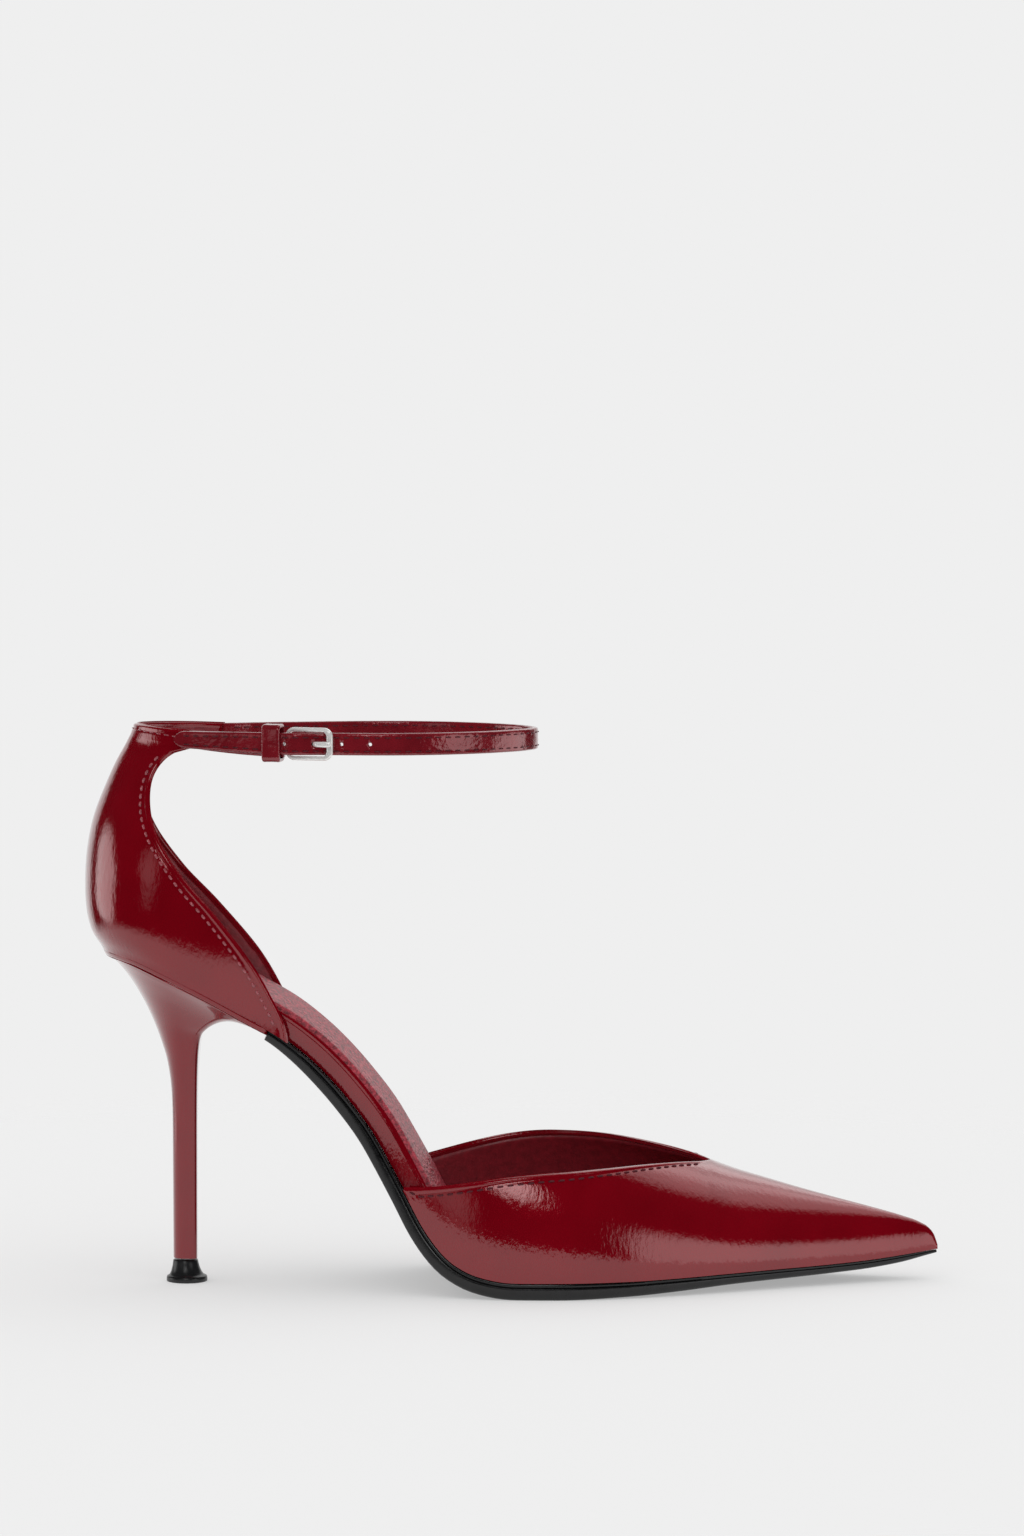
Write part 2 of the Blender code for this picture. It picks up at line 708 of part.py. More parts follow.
def vamp_grid(places, side, inset, rows):
    grid = []
    for x in places:
        inner_x = x
        if inset:
            share = min(max((x - THROAT_POINT) / (TOE_TIP - THROAT_POINT), 0.0), 1.0)
            inner_x = x - TOE_PUFF * share * share
        top = topline_share(x, side)
        point = vamp_section(inner_x, side, inset)
        column = []
        for j in range(rows + 1):
            y, z = point(top * j / rows)
            column.append((inner_x, y, z))
        grid.append(column)
    return grid


def make_vamp(material):
    open_part = [VAMP_START + share * (THROAT_POINT - VAMP_START) for share in
                 (0.006, 0.025, 0.05, 0.08, 0.115, 0.155, 0.21, 0.29, 0.39, 0.49, 0.59, 0.68, 0.76, 0.83,
                  0.89, 0.935, 0.97, 1.0)]
    closed_part = [THROAT_POINT + share * (TOE_TIP - THROAT_POINT) for share in
                   (0.09, 0.20, 0.32, 0.45, 0.58, 0.70, 0.80, 0.88, 0.93, 0.963, 0.984, 1.0)]
    places = open_part + closed_part
    apex = len(open_part) - 1
    rows = 9
    points, faces = [], []
    layers = {}
    for layer, inset in (("outer", 0.0), ("inner", UPPER_WALL)):
        for side in (-1, 1):
            grid = vamp_grid(places, side, inset, rows)
            base = len(points)
            points += [p for column in grid for p in column]
            layers[layer, side] = lambda i, j, base=base: base + i * (rows + 1) + j
            at = layers[layer, side]
            for i in range(len(places) - 1):
                for j in range(rows):
                    faces.append((at(i, j), at(i + 1, j), at(i + 1, j + 1), at(i, j + 1)))
    last = len(places) - 1
    for side in (-1, 1):
        out, inn = layers["outer", side], layers["inner", side]
        for i in range(last):
            faces.append((out(i, 0), out(i + 1, 0), inn(i + 1, 0), inn(i, 0)))
        for i in range(apex):
            faces.append((out(i, rows), out(i + 1, rows), inn(i + 1, rows), inn(i, rows)))
        for j in range(rows):
            faces.append((out(0, j), out(0, j + 1), inn(0, j + 1), inn(0, j)))
    for layer in ("outer", "inner"):
        lateral, medial = layers[layer, -1], layers[layer, 1]
        cap = [lateral(last, j) for j in range(rows + 1)]
        cap += [medial(last, j) for j in range(rows - 1, -1, -1)]
        faces.append(tuple(cap))
    faces.append((layers["outer", -1](last, 0), layers["outer", 1](last, 0),
                  layers["inner", 1](last, 0), layers["inner", -1](last, 0)))
    return add_object("vamp", points, faces, material, sharp_degrees=50)


# Ankle strap

def ring_curve():
    """Plan points of the ring's middle layer, lateral wing to medial wing, closely spaced."""
    wing_level = COUNTER_ROWS[-1][0]
    lateral, medial = [], []
    for side, found in ((-1, lateral), (1, medial)):
        for share in (0.70, 0.80, 0.90, 1.00):
            x, y, _ = counter_point(wing_level, share, side)
            found.append((x, y - side * UPPER_WALL / 2))
        found += [(x * RING_LENGTH, side * y * RING_HALF_WIDTH) for x, y in RING_ROWS]
    medial.reverse()
    knots = [Vector((x, y, 0)) for x, y in lateral + [(RING_LENGTH, 0.0)] + medial]
    chord = [0.0]
    for a, b in zip(knots, knots[1:]):
        chord.append(chord[-1] + (b - a).length)
    table = Table(("run", "x", "y"), [(s, p.x, p.y) for s, p in zip(chord, knots)])
    samples = np.linspace(0, chord[-1], 900)
    return np.array([(row.x, row.y) for row in map(table.at, samples)])


RING = ring_curve()
RING_RUN = np.concatenate([[0], np.cumsum(np.linalg.norm(np.diff(RING, axis=0), axis=1))])


def ring_point(run, offset):
    """Plan point at a run along the ring, moved outwards by offset."""
    x, y = np.interp(run, RING_RUN, RING[:, 0]), np.interp(run, RING_RUN, RING[:, 1])
    ahead, behind = run + SLOPE_STEP, run - SLOPE_STEP
    dx = np.interp(ahead, RING_RUN, RING[:, 0]) - np.interp(behind, RING_RUN, RING[:, 0])
    dy = np.interp(ahead, RING_RUN, RING[:, 1]) - np.interp(behind, RING_RUN, RING[:, 1])
    size = math.hypot(dx, dy)
    return x + dy / size * offset, y - dx / size * offset


def lateral_run(x):
    """Run at which the ring's lateral side passes x."""
    half = len(RING) // 2
    return float(np.interp(x, RING[:half, 0], RING_RUN[:half]))


def medial_run(x):
    half = len(RING) // 2
    return float(np.interp(-x, -RING[half:, 0], RING_RUN[half:]))


HINGE_RUN = lateral_run(HINGE_PLACE)
OUTER_LAYER = (max(UPPER_WALL, STRAP_THICKNESS) + STRAP_THICKNESS) / 2 + 1.5 * GAP
FRONT_BAR_OFFSET = STRAP_THICKNESS / 2 + GAP + BUCKLE_WIRE / 2


def strap_offset(run):
    """How far the long strap lies outside the ring: above the buckle strap behind the hinge."""
    start, end = HINGE_RUN + 0.12 * BUCKLE_LENGTH, HINGE_RUN + 0.91 * BUCKLE_LENGTH
    share = min(max((run - start) / (end - start), 0.0), 1.0)
    return OUTER_LAYER * (1 - share * share * (3 - 2 * share))


def strip(stations):
    """Closed strip through (run, offset, low, high) stations along the ring."""
    loops = []
    for run, offset, low, high in stations:
        inner = ring_point(run, offset - STRAP_THICKNESS / 2)
        outer = ring_point(run, offset + STRAP_THICKNESS / 2)
        loops.append([(*inner, low), (*outer, low), (*outer, high), (*inner, high)])
    return loft(loops)


def make_ankle_strap(material, prong):
    centre, half = STRAP_CENTRE_HEIGHT, STRAP_WIDTH / 2
    tip, root = lateral_run(STRAP_TIP), medial_run(MEDIAL_WING + GAP)
    stations = []
    for k in range(5):
        turn = math.pi / 2 * (k + 0.35) / 4.35
        run = tip + half * (1 - math.cos(turn))
        stations.append((run, math.sin(turn)))
    runs = list(np.linspace(tip + 1.25 * half, HINGE_RUN, 7))
    runs += list(np.linspace(HINGE_RUN, HINGE_RUN + BUCKLE_LENGTH, 10)[1:])
    runs += list(np.linspace(HINGE_RUN + BUCKLE_LENGTH, root, 40)[1:])
    stations += [(run, 1.0) for run in runs]
    edges = []
    for run, share in stations:
        taper = STRAP_TIP_TAPER * max(0.0, (HINGE_RUN - run) / (HINGE_RUN - tip))
        middle, tall = centre + taper / 2, half - taper / 2
        edges.append((run, strap_offset(run), middle - share * tall, middle + share * tall))
    strap = add_object("ankle_strap", *strip(edges), material)
    hole = strap.modifiers.new("prong hole", "BOOLEAN")
    hole.operation = "DIFFERENCE"
    hole.solver = "EXACT"
    hole.object = prong
    return strap


def make_buckle_strap(material):
    high = STRAP_CENTRE_HEIGHT + STRAP_WIDTH / 2
    low = STRAP_CENTRE_HEIGHT - STRAP_WIDTH / 2
    start = lateral_run(LATERAL_WING + GAP)
    end = HINGE_RUN - BUCKLE_WIRE / 2 - GAP
    stations = []
    for k in range(9):
        share = k / 8
        run = start + share * (end - start)
        swing = math.sin(math.pi / 2 * share)
        fall = WING_EDGE_RISE - swing * (WING_EDGE_RISE + BUCKLE_STRAP_DROP)
        stations.append((run, 0.0, low + fall, high - 0.3 * swing * BUCKLE_STRAP_DROP))
    return add_object("buckle_strap", *strip(stations), material)


def make_keeper(material):
    first = lateral_run(KEEPER_PLACE) - KEEPER_WIDTH / 2
    inner_low = STRAP_CENTRE_HEIGHT - STRAP_WIDTH / 2 - BUCKLE_STRAP_DROP - GAP
    inner_high = STRAP_CENTRE_HEIGHT + STRAP_WIDTH / 2 + KEEPER_SLACK
    near = -STRAP_THICKNESS / 2 - GAP
    far = OUTER_LAYER + STRAP_THICKNESS / 2 + GAP

    def rectangle(run, grow):
        corners = ((near, inner_low), (far, inner_low), (far, inner_high), (near, inner_high))
        signs = ((-1, -1), (1, -1), (1, 1), (-1, 1))
        loop = []
        for (offset, height), (out, up) in zip(corners, signs):
            x, y = ring_point(run, offset + out * grow)
            loop.append((x, y, height + up * grow))
        return loop

    runs = [first + KEEPER_WIDTH * k / 3 for k in range(4)]
    outer = [rectangle(run, KEEPER_WALL) for run in runs]
    inner = [rectangle(run, 0.0) for run in runs]
    tube = outer + inner[::-1]
    return add_object("keeper", *ring_sweep(tube), material)


def buckle_place(along, offset, height):
    """Point at a run past the hinge bar, an offset outside the ring and a height."""
    x, y = ring_point(HINGE_RUN + along, offset)
    return Vector((x, y, height))


def wire_loops(path, radius_wide, radius_thick, sides, closed):
    """Loops of an oval wire along a path of points."""
    loops = []
    count = len(path)
    for i, place in enumerate(path):
        if closed:
            ahead = path[(i + 1) % count] - path[i - 1]
        else:
            ahead = path[min(i + 1, count - 1)] - path[max(i - 1, 0)]
        ahead.normalize()
        wide = Vector((0, 0, 1))
        if abs(ahead.z) > 0.5 or closed:
            wide = BUCKLE_FACE
        wide = (wide - ahead * wide.dot(ahead)).normalized()
        thick = ahead.cross(wide)
        loops.append([
            tuple(place + wide * radius_wide * math.cos(2 * math.pi * k / sides)
                  + thick * radius_thick * math.sin(2 * math.pi * k / sides))
            for k in range(sides)
        ])
    return loops


HINGE_POINT = buckle_place(0.0, 0.0, STRAP_CENTRE_HEIGHT)
FRONT_POINT = buckle_place(BUCKLE_LENGTH, FRONT_BAR_OFFSET, STRAP_CENTRE_HEIGHT)
BUCKLE_ALONG = (FRONT_POINT - HINGE_POINT).normalized()
BUCKLE_FACE = Vector((0, 0, 1)).cross(BUCKLE_ALONG)


def make_buckle_frame(material):
    length = (FRONT_POINT - HINGE_POINT).length
    half = STRAP_WIDTH / 2 + GAP + BUCKLE_WIRE / 2
    corner = BUCKLE_CORNER
    corners = ((length, half, 0), (0, half, 90), (0, -half, 180), (length, -half, 270))
    path = []
    for along, height, start in corners:
        centre_along = along - corner if along else corner
        centre_height = height - math.copysign(corner, height)
        for k in range(5):
            turn = math.radians(start + 90 * k / 4)
            path.append(HINGE_POINT + BUCKLE_ALONG * (centre_along + corner * math.cos(turn))
                        + Vector((0, 0, centre_height + corner * math.sin(turn))))
    loops = wire_loops(path, BUCKLE_WIRE / 2, BUCKLE_WIRE / 2, 8, closed=True)
    return add_object("buckle_frame", *ring_sweep(loops), material)


def prong_path():
    """The prong from the hinge bar, under the strap, up through its hole and over the bar."""
    start = BUCKLE_WIRE / 2 + GAP + PRONG_THICKNESS / 2
    rest = FRONT_BAR_OFFSET + BUCKLE_WIRE / 2 + GAP + PRONG_THICKNESS / 2
    under = -0.40 * STRAP_THICKNESS
    route = (
        (start, 0.0),
        (0.30 * BUCKLE_LENGTH, 0.4 * under),
        (0.50 * BUCKLE_LENGTH, under),
        (0.555 * BUCKLE_LENGTH, 0.4 * under),
        (0.68 * BUCKLE_LENGTH, 0.78 * rest),
        (0.76 * BUCKLE_LENGTH, 0.95 * rest),
        (BUCKLE_LENGTH, rest),
        (BUCKLE_LENGTH + 0.5 * BUCKLE_WIRE, 0.97 * rest),
    )
    return [buckle_place(along, offset, STRAP_CENTRE_HEIGHT) for along, offset in route]


def make_prong(material):
    loops = wire_loops(prong_path(), PRONG_WIDTH / 2, PRONG_THICKNESS / 2, 8, closed=False)
    return add_object("buckle_prong", *loft(loops), material)


def make_prong_cutter(material):
    loops = wire_loops(prong_path()[1:-2], PRONG_WIDTH / 2 + GAP, PRONG_THICKNESS / 2 + GAP, 8,
                       closed=False)
    cutter = add_object("prong_hole_cutter", *loft(loops), material)
    cutter.hide_render = True
    cutter.display_type = "WIRE"
    return cutter


def main():
    clear_scene()
    patent = finish_material("patent_leather", BURGUNDY, 0.18, 0.0, 1.0)
    heel_cover = finish_material("heel_cover", BURGUNDY, 0.18, 0.0, 1.0)
    wrapped = finish_material("wrapped_insole", BURGUNDY, 0.22, 0.0, 0.8)
    lining = finish_material("sock_lining", LINING_RED, 0.65, 0.0, 0.0)
    rubber = finish_material("black_sole", BLACK, 0.35, 0.0, 0.0)
    top_piece = finish_material("black_top_piece", BLACK, 0.30, 0.0, 0.0)
    metal = finish_material("silver_metal", SILVER, 0.22, 1.0, 0.0)
    make_outsole(rubber)
    make_heel(heel_cover)
    make_heel_tip(top_piece)
    make_insole(wrapped)
    make_sock(lining)
    make_vamp(patent)
    make_counter(patent)
    make_ankle_strap(patent, make_prong_cutter(metal))
    make_buckle_strap(patent)
    make_keeper(patent)
    make_buckle_frame(metal)
    make_prong(metal)


main()
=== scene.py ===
"""Looks of the ankle strap pump: patent shells with turned edges, stitches, sole, heel and buckle.

Metres, +Z up, +X to the toe, +Y to the medial side; the origin is the heel tip's base.
"""

import math
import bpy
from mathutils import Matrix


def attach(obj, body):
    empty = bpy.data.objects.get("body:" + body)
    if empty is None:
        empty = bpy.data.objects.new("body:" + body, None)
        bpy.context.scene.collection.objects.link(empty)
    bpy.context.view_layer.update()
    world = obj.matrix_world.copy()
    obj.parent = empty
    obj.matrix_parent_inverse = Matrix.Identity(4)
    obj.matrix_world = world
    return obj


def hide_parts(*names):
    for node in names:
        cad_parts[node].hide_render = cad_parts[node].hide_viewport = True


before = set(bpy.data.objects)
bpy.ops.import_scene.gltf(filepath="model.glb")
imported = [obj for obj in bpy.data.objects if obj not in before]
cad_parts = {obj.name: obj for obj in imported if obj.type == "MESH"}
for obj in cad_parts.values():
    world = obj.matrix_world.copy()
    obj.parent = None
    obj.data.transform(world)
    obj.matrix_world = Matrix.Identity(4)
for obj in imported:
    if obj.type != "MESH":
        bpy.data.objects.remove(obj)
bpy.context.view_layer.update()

from types import SimpleNamespace

import bmesh
import bpy
import numpy as np
from mathutils import Vector

# Sizes, as in the solids apart from the heel strip's, the seams' and the sole's start
SEAT_OVERHANG = 0.02365
SOLE_LENGTH = 0.2387
SEAT_HEIGHT = 0.0963
BALL_WIDTH = 0.0760
SEAT_WIDTH = 0.0496
TOE_RISE = 0.0038
TOE_SWING = 0.0040
GAP = 0.0003
SOLE_THICKNESS = 0.0046
SOLE_STEP = 0.0006
SOLE_BEVEL = 0.0013
SOLE_START_GAP = 0.0002
INSOLE_THICKNESS = 0.0062
INSOLE_TOE_MARGIN = 0.0160
SOCK_THICKNESS = 0.0010
SOCK_INSET = 0.0005
STEM_DEPTH = 0.0069
STEM_WIDTH = 0.0076
STEM_SET_BACK = 0.0004
BREAST_REACH = 0.0246
STRIP_HEIGHT = 0.0016
STRIP_PROUD = 0.00014
STRIP_LEAN = (0.038, 0.024)
TIP_HEIGHT = 0.0066
TIP_TOP_DIAMETER = 0.0071
TIP_BASE_DIAMETER = 0.0117
UPPER_WALL = 0.0017
COUNTER_BULGE = 0.0049
MEDIAL_SET_BACK = 0.0034
VAMP_START_SHARE = 0.3597
THROAT_SHARE = 0.7275
THROAT_HEIGHT = 0.0350
TOE_OVERHANG = 0.0003
TOE_PUFF = 0.0070
NARROW_TOE = 0.0120
STRAP_WIDTH = 0.0063
STRAP_THICKNESS = 0.0016
STRAP_RISE = 0.0596
COUNTER_PEAK = 0.00135
RING_LENGTH = 0.0998
RING_HALF_WIDTH = 0.0288
LATERAL_WING = 0.0026
MEDIAL_WING = 0.0102
STRAP_TIP = -0.0010
STRAP_TIP_TAPER = 0.0016
WING_EDGE_RISE = 0.0014
BUCKLE_STRAP_DROP = 0.0007
HINGE_PLACE = 0.0302
BUCKLE_LENGTH = 0.0128
BUCKLE_WIRE = 0.0012
BUCKLE_CORNER = 0.0020
PRONG_WIDTH = 0.0015
PRONG_THICKNESS = 0.0009
KEEPER_PLACE = 0.0263
KEEPER_WIDTH = 0.0052
KEEPER_WALL = 0.0010
KEEPER_SLACK = 0.0013
NARROWEST_HALF = 0.0009
SLOPE_STEP = 0.0004

SOLE_FRONT = SOLE_LENGTH - SEAT_OVERHANG
VAMP_START = VAMP_START_SHARE * SOLE_LENGTH - SEAT_OVERHANG
THROAT_POINT = THROAT_SHARE * SOLE_LENGTH - SEAT_OVERHANG
TOE_TIP = SOLE_FRONT + TOE_OVERHANG
STRAP_CENTRE_HEIGHT = SEAT_HEIGHT + STRAP_RISE
COUNTER_HEIGHT = STRAP_RISE + STRAP_WIDTH / 2 + COUNTER_PEAK

# Edge line of the sole's top, as in the solids
SOLE_COLUMNS = ("along", "rise", "toe", "swing", "half", "sole", "insole")
SOLE_ROWS = (
    (0.000, 1.000, 0.00, 0.00, 0.326, 0.50, 1.00),
    (0.036, 0.983, 0.00, 0.00, 0.326, 0.50, 1.00),
    (0.074, 0.943, 0.00, 0.00, 0.327, 0.52, 1.00),
    (0.122, 0.880, 0.00, 0.00, 0.328, 0.55, 1.00),
    (0.168, 0.814, 0.00, -0.05, 0.325, 0.58, 1.00),
    (0.221, 0.733, 0.00, -0.15, 0.313, 0.70, 1.00),
    (0.262, 0.642, 0.00, -0.25, 0.303, 0.84, 1.00),
    (0.295, 0.546, 0.00, -0.30, 0.303, 0.88, 1.00),
    (0.325, 0.440, 0.00, -0.30, 0.314, 0.90, 1.00),
    (0.344, 0.353, 0.00, -0.28, 0.330, 0.90, 1.00),
    (0.362, 0.266, 0.00, -0.25, 0.352, 0.90, 1.00),
    (0.384, 0.160, 0.00, -0.20, 0.385, 0.92, 0.95),
    (0.410, 0.074, 0.00, -0.15, 0.423, 0.95, 0.86),
    (0.435, 0.031, 0.00, -0.10, 0.454, 0.98, 0.76),
    (0.461, 0.010, 0.00, -0.05, 0.477, 1.00, 0.66),
    (0.495, 0.000, 0.00, 0.00, 0.493, 1.00, 0.56),
    (0.545, 0.000, 0.00, 0.05, 0.500, 1.00, 0.48),
    (0.622, 0.000, 0.00, 0.15, 0.462, 0.90, 0.42),
    (0.688, 0.000, 0.06, 0.25, 0.395, 0.77, 0.38),
    (0.747, 0.000, 0.15, 0.36, 0.320, 0.64, 0.36),
    (0.807, 0.000, 0.23, 0.50, 0.240, 0.58, 0.34),
    (0.866, 0.000, 0.31, 0.66, 0.165, 0.52, 0.32),
    (0.925, 0.000, 0.50, 0.82, 0.095, 0.47, 0.30),
    (0.965, 0.000, 0.75, 0.92, 0.050, 0.38, 0.30),
    (0.988, 0.000, 0.92, 0.98, 0.026, 0.24, 0.30),
    (1.000, 0.000, 1.00, 1.00, 0.011, 0.16, 0.30),
)
HEEL_ROUNDING = 0.109
HEEL_ROUNDNESS = 2.1

HEEL_COLUMNS = ("back_rise", "flare", "breast_rise", "reach", "spread", "follow")
HEEL_ROWS = (
    (0.003, 0.000, 0.003, 0.000, 0.000, 0.00),
    (0.315, 0.004, 0.315, 0.003, 0.010, 0.00),
    (0.470, 0.008, 0.470, 0.006, 0.025, 0.00),
    (0.560, 0.028, 0.556, 0.012, 0.060, 0.00),
    (0.636, 0.080, 0.622, 0.022, 0.115, 0.00),
    (0.694, 0.155, 0.678, 0.040, 0.200, 0.00),
    (0.742, 0.245, 0.715, 0.075, 0.300, 0.04),
    (0.800, 0.375, 0.733, 0.145, 0.430, 0.10),
    (0.856, 0.535, 0.750, 0.290, 0.590, 0.22),
    (0.908, 0.712, 0.757, 0.480, 0.760, 0.42),
    (0.950, 0.860, 0.749, 0.690, 0.890, 0.66),
    (0.974, 0.945, 0.734, 0.880, 0.965, 0.88),
)
STEM_CORNER = 0.0014
BLOCK_CORNER = 0.0030

# Counter by levels; its lower sides are drawn in by under a millimetre from the solid's
COUNTER_COLUMNS = (
    "level", "back", "back_rise", "front", "front_rise", "half", "round", "power", "front_half",
    "medial"
)
COUNTER_ROWS = (
    (0.00, 0.000, 0.000, 0.2242, -0.372, 0.500, 0.54, 2.1, 0.485, 0.0),
    (0.08, 0.530, 0.060, 0.2195, -0.306, 0.514, 0.55, 2.1, 0.492, 0.0),
    (0.18, 0.840, 0.128, 0.2086, -0.215, 0.529, 0.56, 2.1, 0.510, 0.0),
    (0.30, 1.000, 0.222, 0.1826, -0.040, 0.542, 0.57, 2.1, 0.540, 0.2),
    (0.42, 1.000, 0.346, 0.1412, 0.167, 0.546, 0.57, 2.0, 0.546, 0.6),
    (0.54, 0.837, 0.471, 0.1014, 0.342, 0.538, 0.57, 2.0, 0.538, 0.9),
    (0.65, 0.469, 0.596, 0.0716, 0.513, 0.515, 0.57, 1.9, 0.515, 1.0),
    (0.75, -0.163, 0.720, 0.0603, 0.658, 0.470, 0.56, 1.8, 0.470, 1.0),
    (0.84, -0.816, 0.830, 0.0637, 0.783, 0.430, 0.54, 1.7, 0.430, 0.9),
    (0.91, -1.388, 0.908, 0.0783, 0.858, 0.408, 0.52, 1.6, 0.408, 0.5),
    (0.95, -1.640, 0.946, 0.0920, 0.890, 0.402, 0.51, 1.6, 0.402, 0.0),
)
COUNTER_TOP = {"back": -1.918, "back_rise": 1.000, "half": 0.402, "round": 0.51, "power": 1.6}
WING_LEVEL = COUNTER_ROWS[-1][0]
SEAT_FOLLOW_LEVELS = 0.42

VAMP_COLUMNS = ("along", "ridge", "stand", "crest")
VAMP_ROWS = (
    (0.000, 1.900, 0.66, 0.70),
    (0.115, 1.770, 0.66, 0.72),
    (0.246, 1.570, 0.65, 0.72),
    (0.377, 1.345, 0.62, 0.68),
    (0.476, 1.160, 0.58, 0.62),
    (0.571, 1.000, 0.55, 0.56),
    (0.614, 0.930, 0.53, 0.54),
    (0.681, 0.840, 0.52, 0.52),
    (0.748, 0.752, 0.52, 0.51),
    (0.816, 0.669, 0.52, 0.51),
    (0.883, 0.589, 0.52, 0.52),
    (0.934, 0.523, 0.52, 0.54),
    (0.967, 0.469, 0.53, 0.56),
    (0.984, 0.421, 0.54, 0.58),
    (0.995, 0.352, 0.55, 0.60),
    (1.000, 0.285, 0.55, 0.60),
)
VAMP_BULGE = 0.034

TOPLINE_COLUMNS = ("along", "lateral", "medial")
TOPLINE_ROWS = (
    (0.000, 0.872, 0.905),
    (0.045, 0.878, 0.930),
    (0.105, 0.893, 0.966),
    (0.220, 0.938, 1.036),
    (0.330, 0.982, 1.096),
    (0.440, 1.008, 1.134),
    (0.550, 1.022, 1.143),
    (0.660, 1.034, 1.138),
    (0.780, 1.040, 1.108),
    (0.890, 1.030, 1.066),
    (1.000, 1.000, 1.000),
)

RING_ROWS = (
    (0.190, 0.760),
    (0.330, 0.875),
    (0.500, 0.988),
    (0.640, 0.985),
    (0.780, 0.835),
    (0.900, 0.560),
    (0.975, 0.250),
)

# Thin details that only show
BEAD_RADIUS = 0.00085
BEAD_RISE = 0.00012
BEAD_FALL = 0.00062
GROOVE_PLACE = 0.0016
GROOVE_END = 0.0023
RIM_STEPS = ((0.25, 0.00016), (0.5, 0.00022), (0.75, 0.00016))
SLIM_TOE = 0.0050
SEAM_TUCK = 0.0002
WRAP_LEAN = 0.0010
FOLD_DEPTH = 0.00018
LINING_START = 0.0016
LINING_FADE = 0.0006
LINING_DEPTH = 0.00045
LINING_WALL = UPPER_WALL - LINING_DEPTH
LINING_TUCK = 0.0003
LINING_BACK = 0.0004
STITCH_PITCH = 0.0029
STITCH_SHARE = 0.66
STITCH_RADIUS = 0.00029
STITCH_LIFT = 0.35
STITCH_SAG = 0.00016
STITCH_PROFILE = ((-1.0, 0.15), (-0.88, 0.65), (-0.6, 0.95), (0.0, 1.0), (0.6, 0.95), (0.88, 0.65),
                  (1.0, 0.15))
FINE_STITCH = 0.00020
COARSE_STITCH = 0.00036
COARSE_PITCH = 0.0024
COUNTER_SEAM = 0.0027
SEAM_NARROWS = 0.0009
TOP_SEAM_LEVEL = 0.9765
SEAM_COLUMN = 8
LOW_SEAM_INSET = 0.0012
HIGH_SEAM_INSET = 0.0013
HOLE_RADIUS = 0.0005
HOLE_PITCH = 0.0080
PRONG_HOLE_SHARE = 0.60
BAR_SPREAD = 0.50
WIRE_POWER = 2.8
KEEPER_CORNER = 0.0006
KEEPER_EDGE = ((0.0, 0.55), (0.03, 0.85), (0.07, 1.0), (0.15, 1.04), (0.23, 1.0), (0.5, 0.97),
               (0.77, 1.0), (0.85, 1.04), (0.93, 1.0), (0.97, 0.85), (1.0, 0.55))
COUNTER_STEPS = 34
TOP_LEVELS = (0.915, 0.93, 0.94, 0.95, 0.953, 0.957, 0.961, 0.965, 0.969, 0.973, 0.977, 0.981,
              0.985, 0.989, 0.992, 0.995, 0.9975, 0.999, 1.0)


class Table:
    """Rows of named columns, read along the first column as smooth curves."""

    def __init__(self, columns, rows, flat_steps=False):
        self.columns = columns
        self.data = np.array(rows, float)
        self.keys = self.data[:, 0]
        steps = np.diff(self.keys)[:, None]
        rates = np.diff(self.data, axis=0) / steps
        before, after = rates[:-1], rates[1:]
        inner = (before * steps[1:] + after * steps[:-1]) / (steps[1:] + steps[:-1])
        if flat_steps:
            inner[before * after <= 0] = 0.0
        self.slopes = np.concatenate([rates[:1], inner, rates[-1:]])

    def at(self, key):
        key = min(max(key, self.keys[0]), self.keys[-1])
        i = int(min(max(np.searchsorted(self.keys, key) - 1, 0), len(self.keys) - 2))
        width = self.keys[i + 1] - self.keys[i]
        t = (key - self.keys[i]) / width
        values = (
            self.data[i] * (1 + 2 * t) * (1 - t) ** 2
            + self.slopes[i] * width * t * (1 - t) ** 2
            + self.data[i + 1] * t * t * (3 - 2 * t)
            + self.slopes[i + 1] * width * t * t * (t - 1)
        )
        return SimpleNamespace(**dict(zip(self.columns, values)))


SOLE = Table(SOLE_COLUMNS, SOLE_ROWS, flat_steps=True)
HEEL = Table(("step",) + HEEL_COLUMNS, [(i,) + row for i, row in enumerate(HEEL_ROWS)])
COUNTER = Table(COUNTER_COLUMNS, COUNTER_ROWS)
VAMP = Table(VAMP_COLUMNS, VAMP_ROWS)
TOPLINE = Table(TOPLINE_COLUMNS, TOPLINE_ROWS)


def rounded(share, power):
    share = min(max(share, 0.0), 1.0)
    return (1 - (1 - share) ** power) ** (1 / power)


def smooth_step(value, start, end):
    share = min(max((value - start) / (end - start), 0.0), 1.0)
    return share * share * (3 - 2 * share)


def sole_line(x):
    along = (x + SEAT_OVERHANG) / SOLE_LENGTH
    row = SOLE.at(along)
    drop = SEAT_HEIGHT - SOLE_THICKNESS
    row.x = x
    row.z = SOLE_THICKNESS + row.rise * drop + row.toe * TOE_RISE
    seat_share = min(max(1 - along / 0.5, 0.0), 1.0)
    width = seat_share * SEAT_WIDTH / 0.656 + (1 - seat_share) * BALL_WIDTH
    row.flat_half = row.half * width
    row.half = row.flat_half * rounded(along / HEEL_ROUNDING, HEEL_ROUNDNESS)
    row.centre = row.swing * TOE_SWING
    row.sole_thickness = row.sole * SOLE_THICKNESS
    row.insole_thickness = row.insole * INSOLE_THICKNESS
    return row


def sole_frame(x):
    row = sole_line(x)
    before, after = sole_line(x - SLOPE_STEP), sole_line(x + SLOPE_STEP)
    run, climb = 2 * SLOPE_STEP, after.z - before.z
    size = math.hypot(run, climb)
    row.nx, row.nz = -climb / size, run / size
    return row


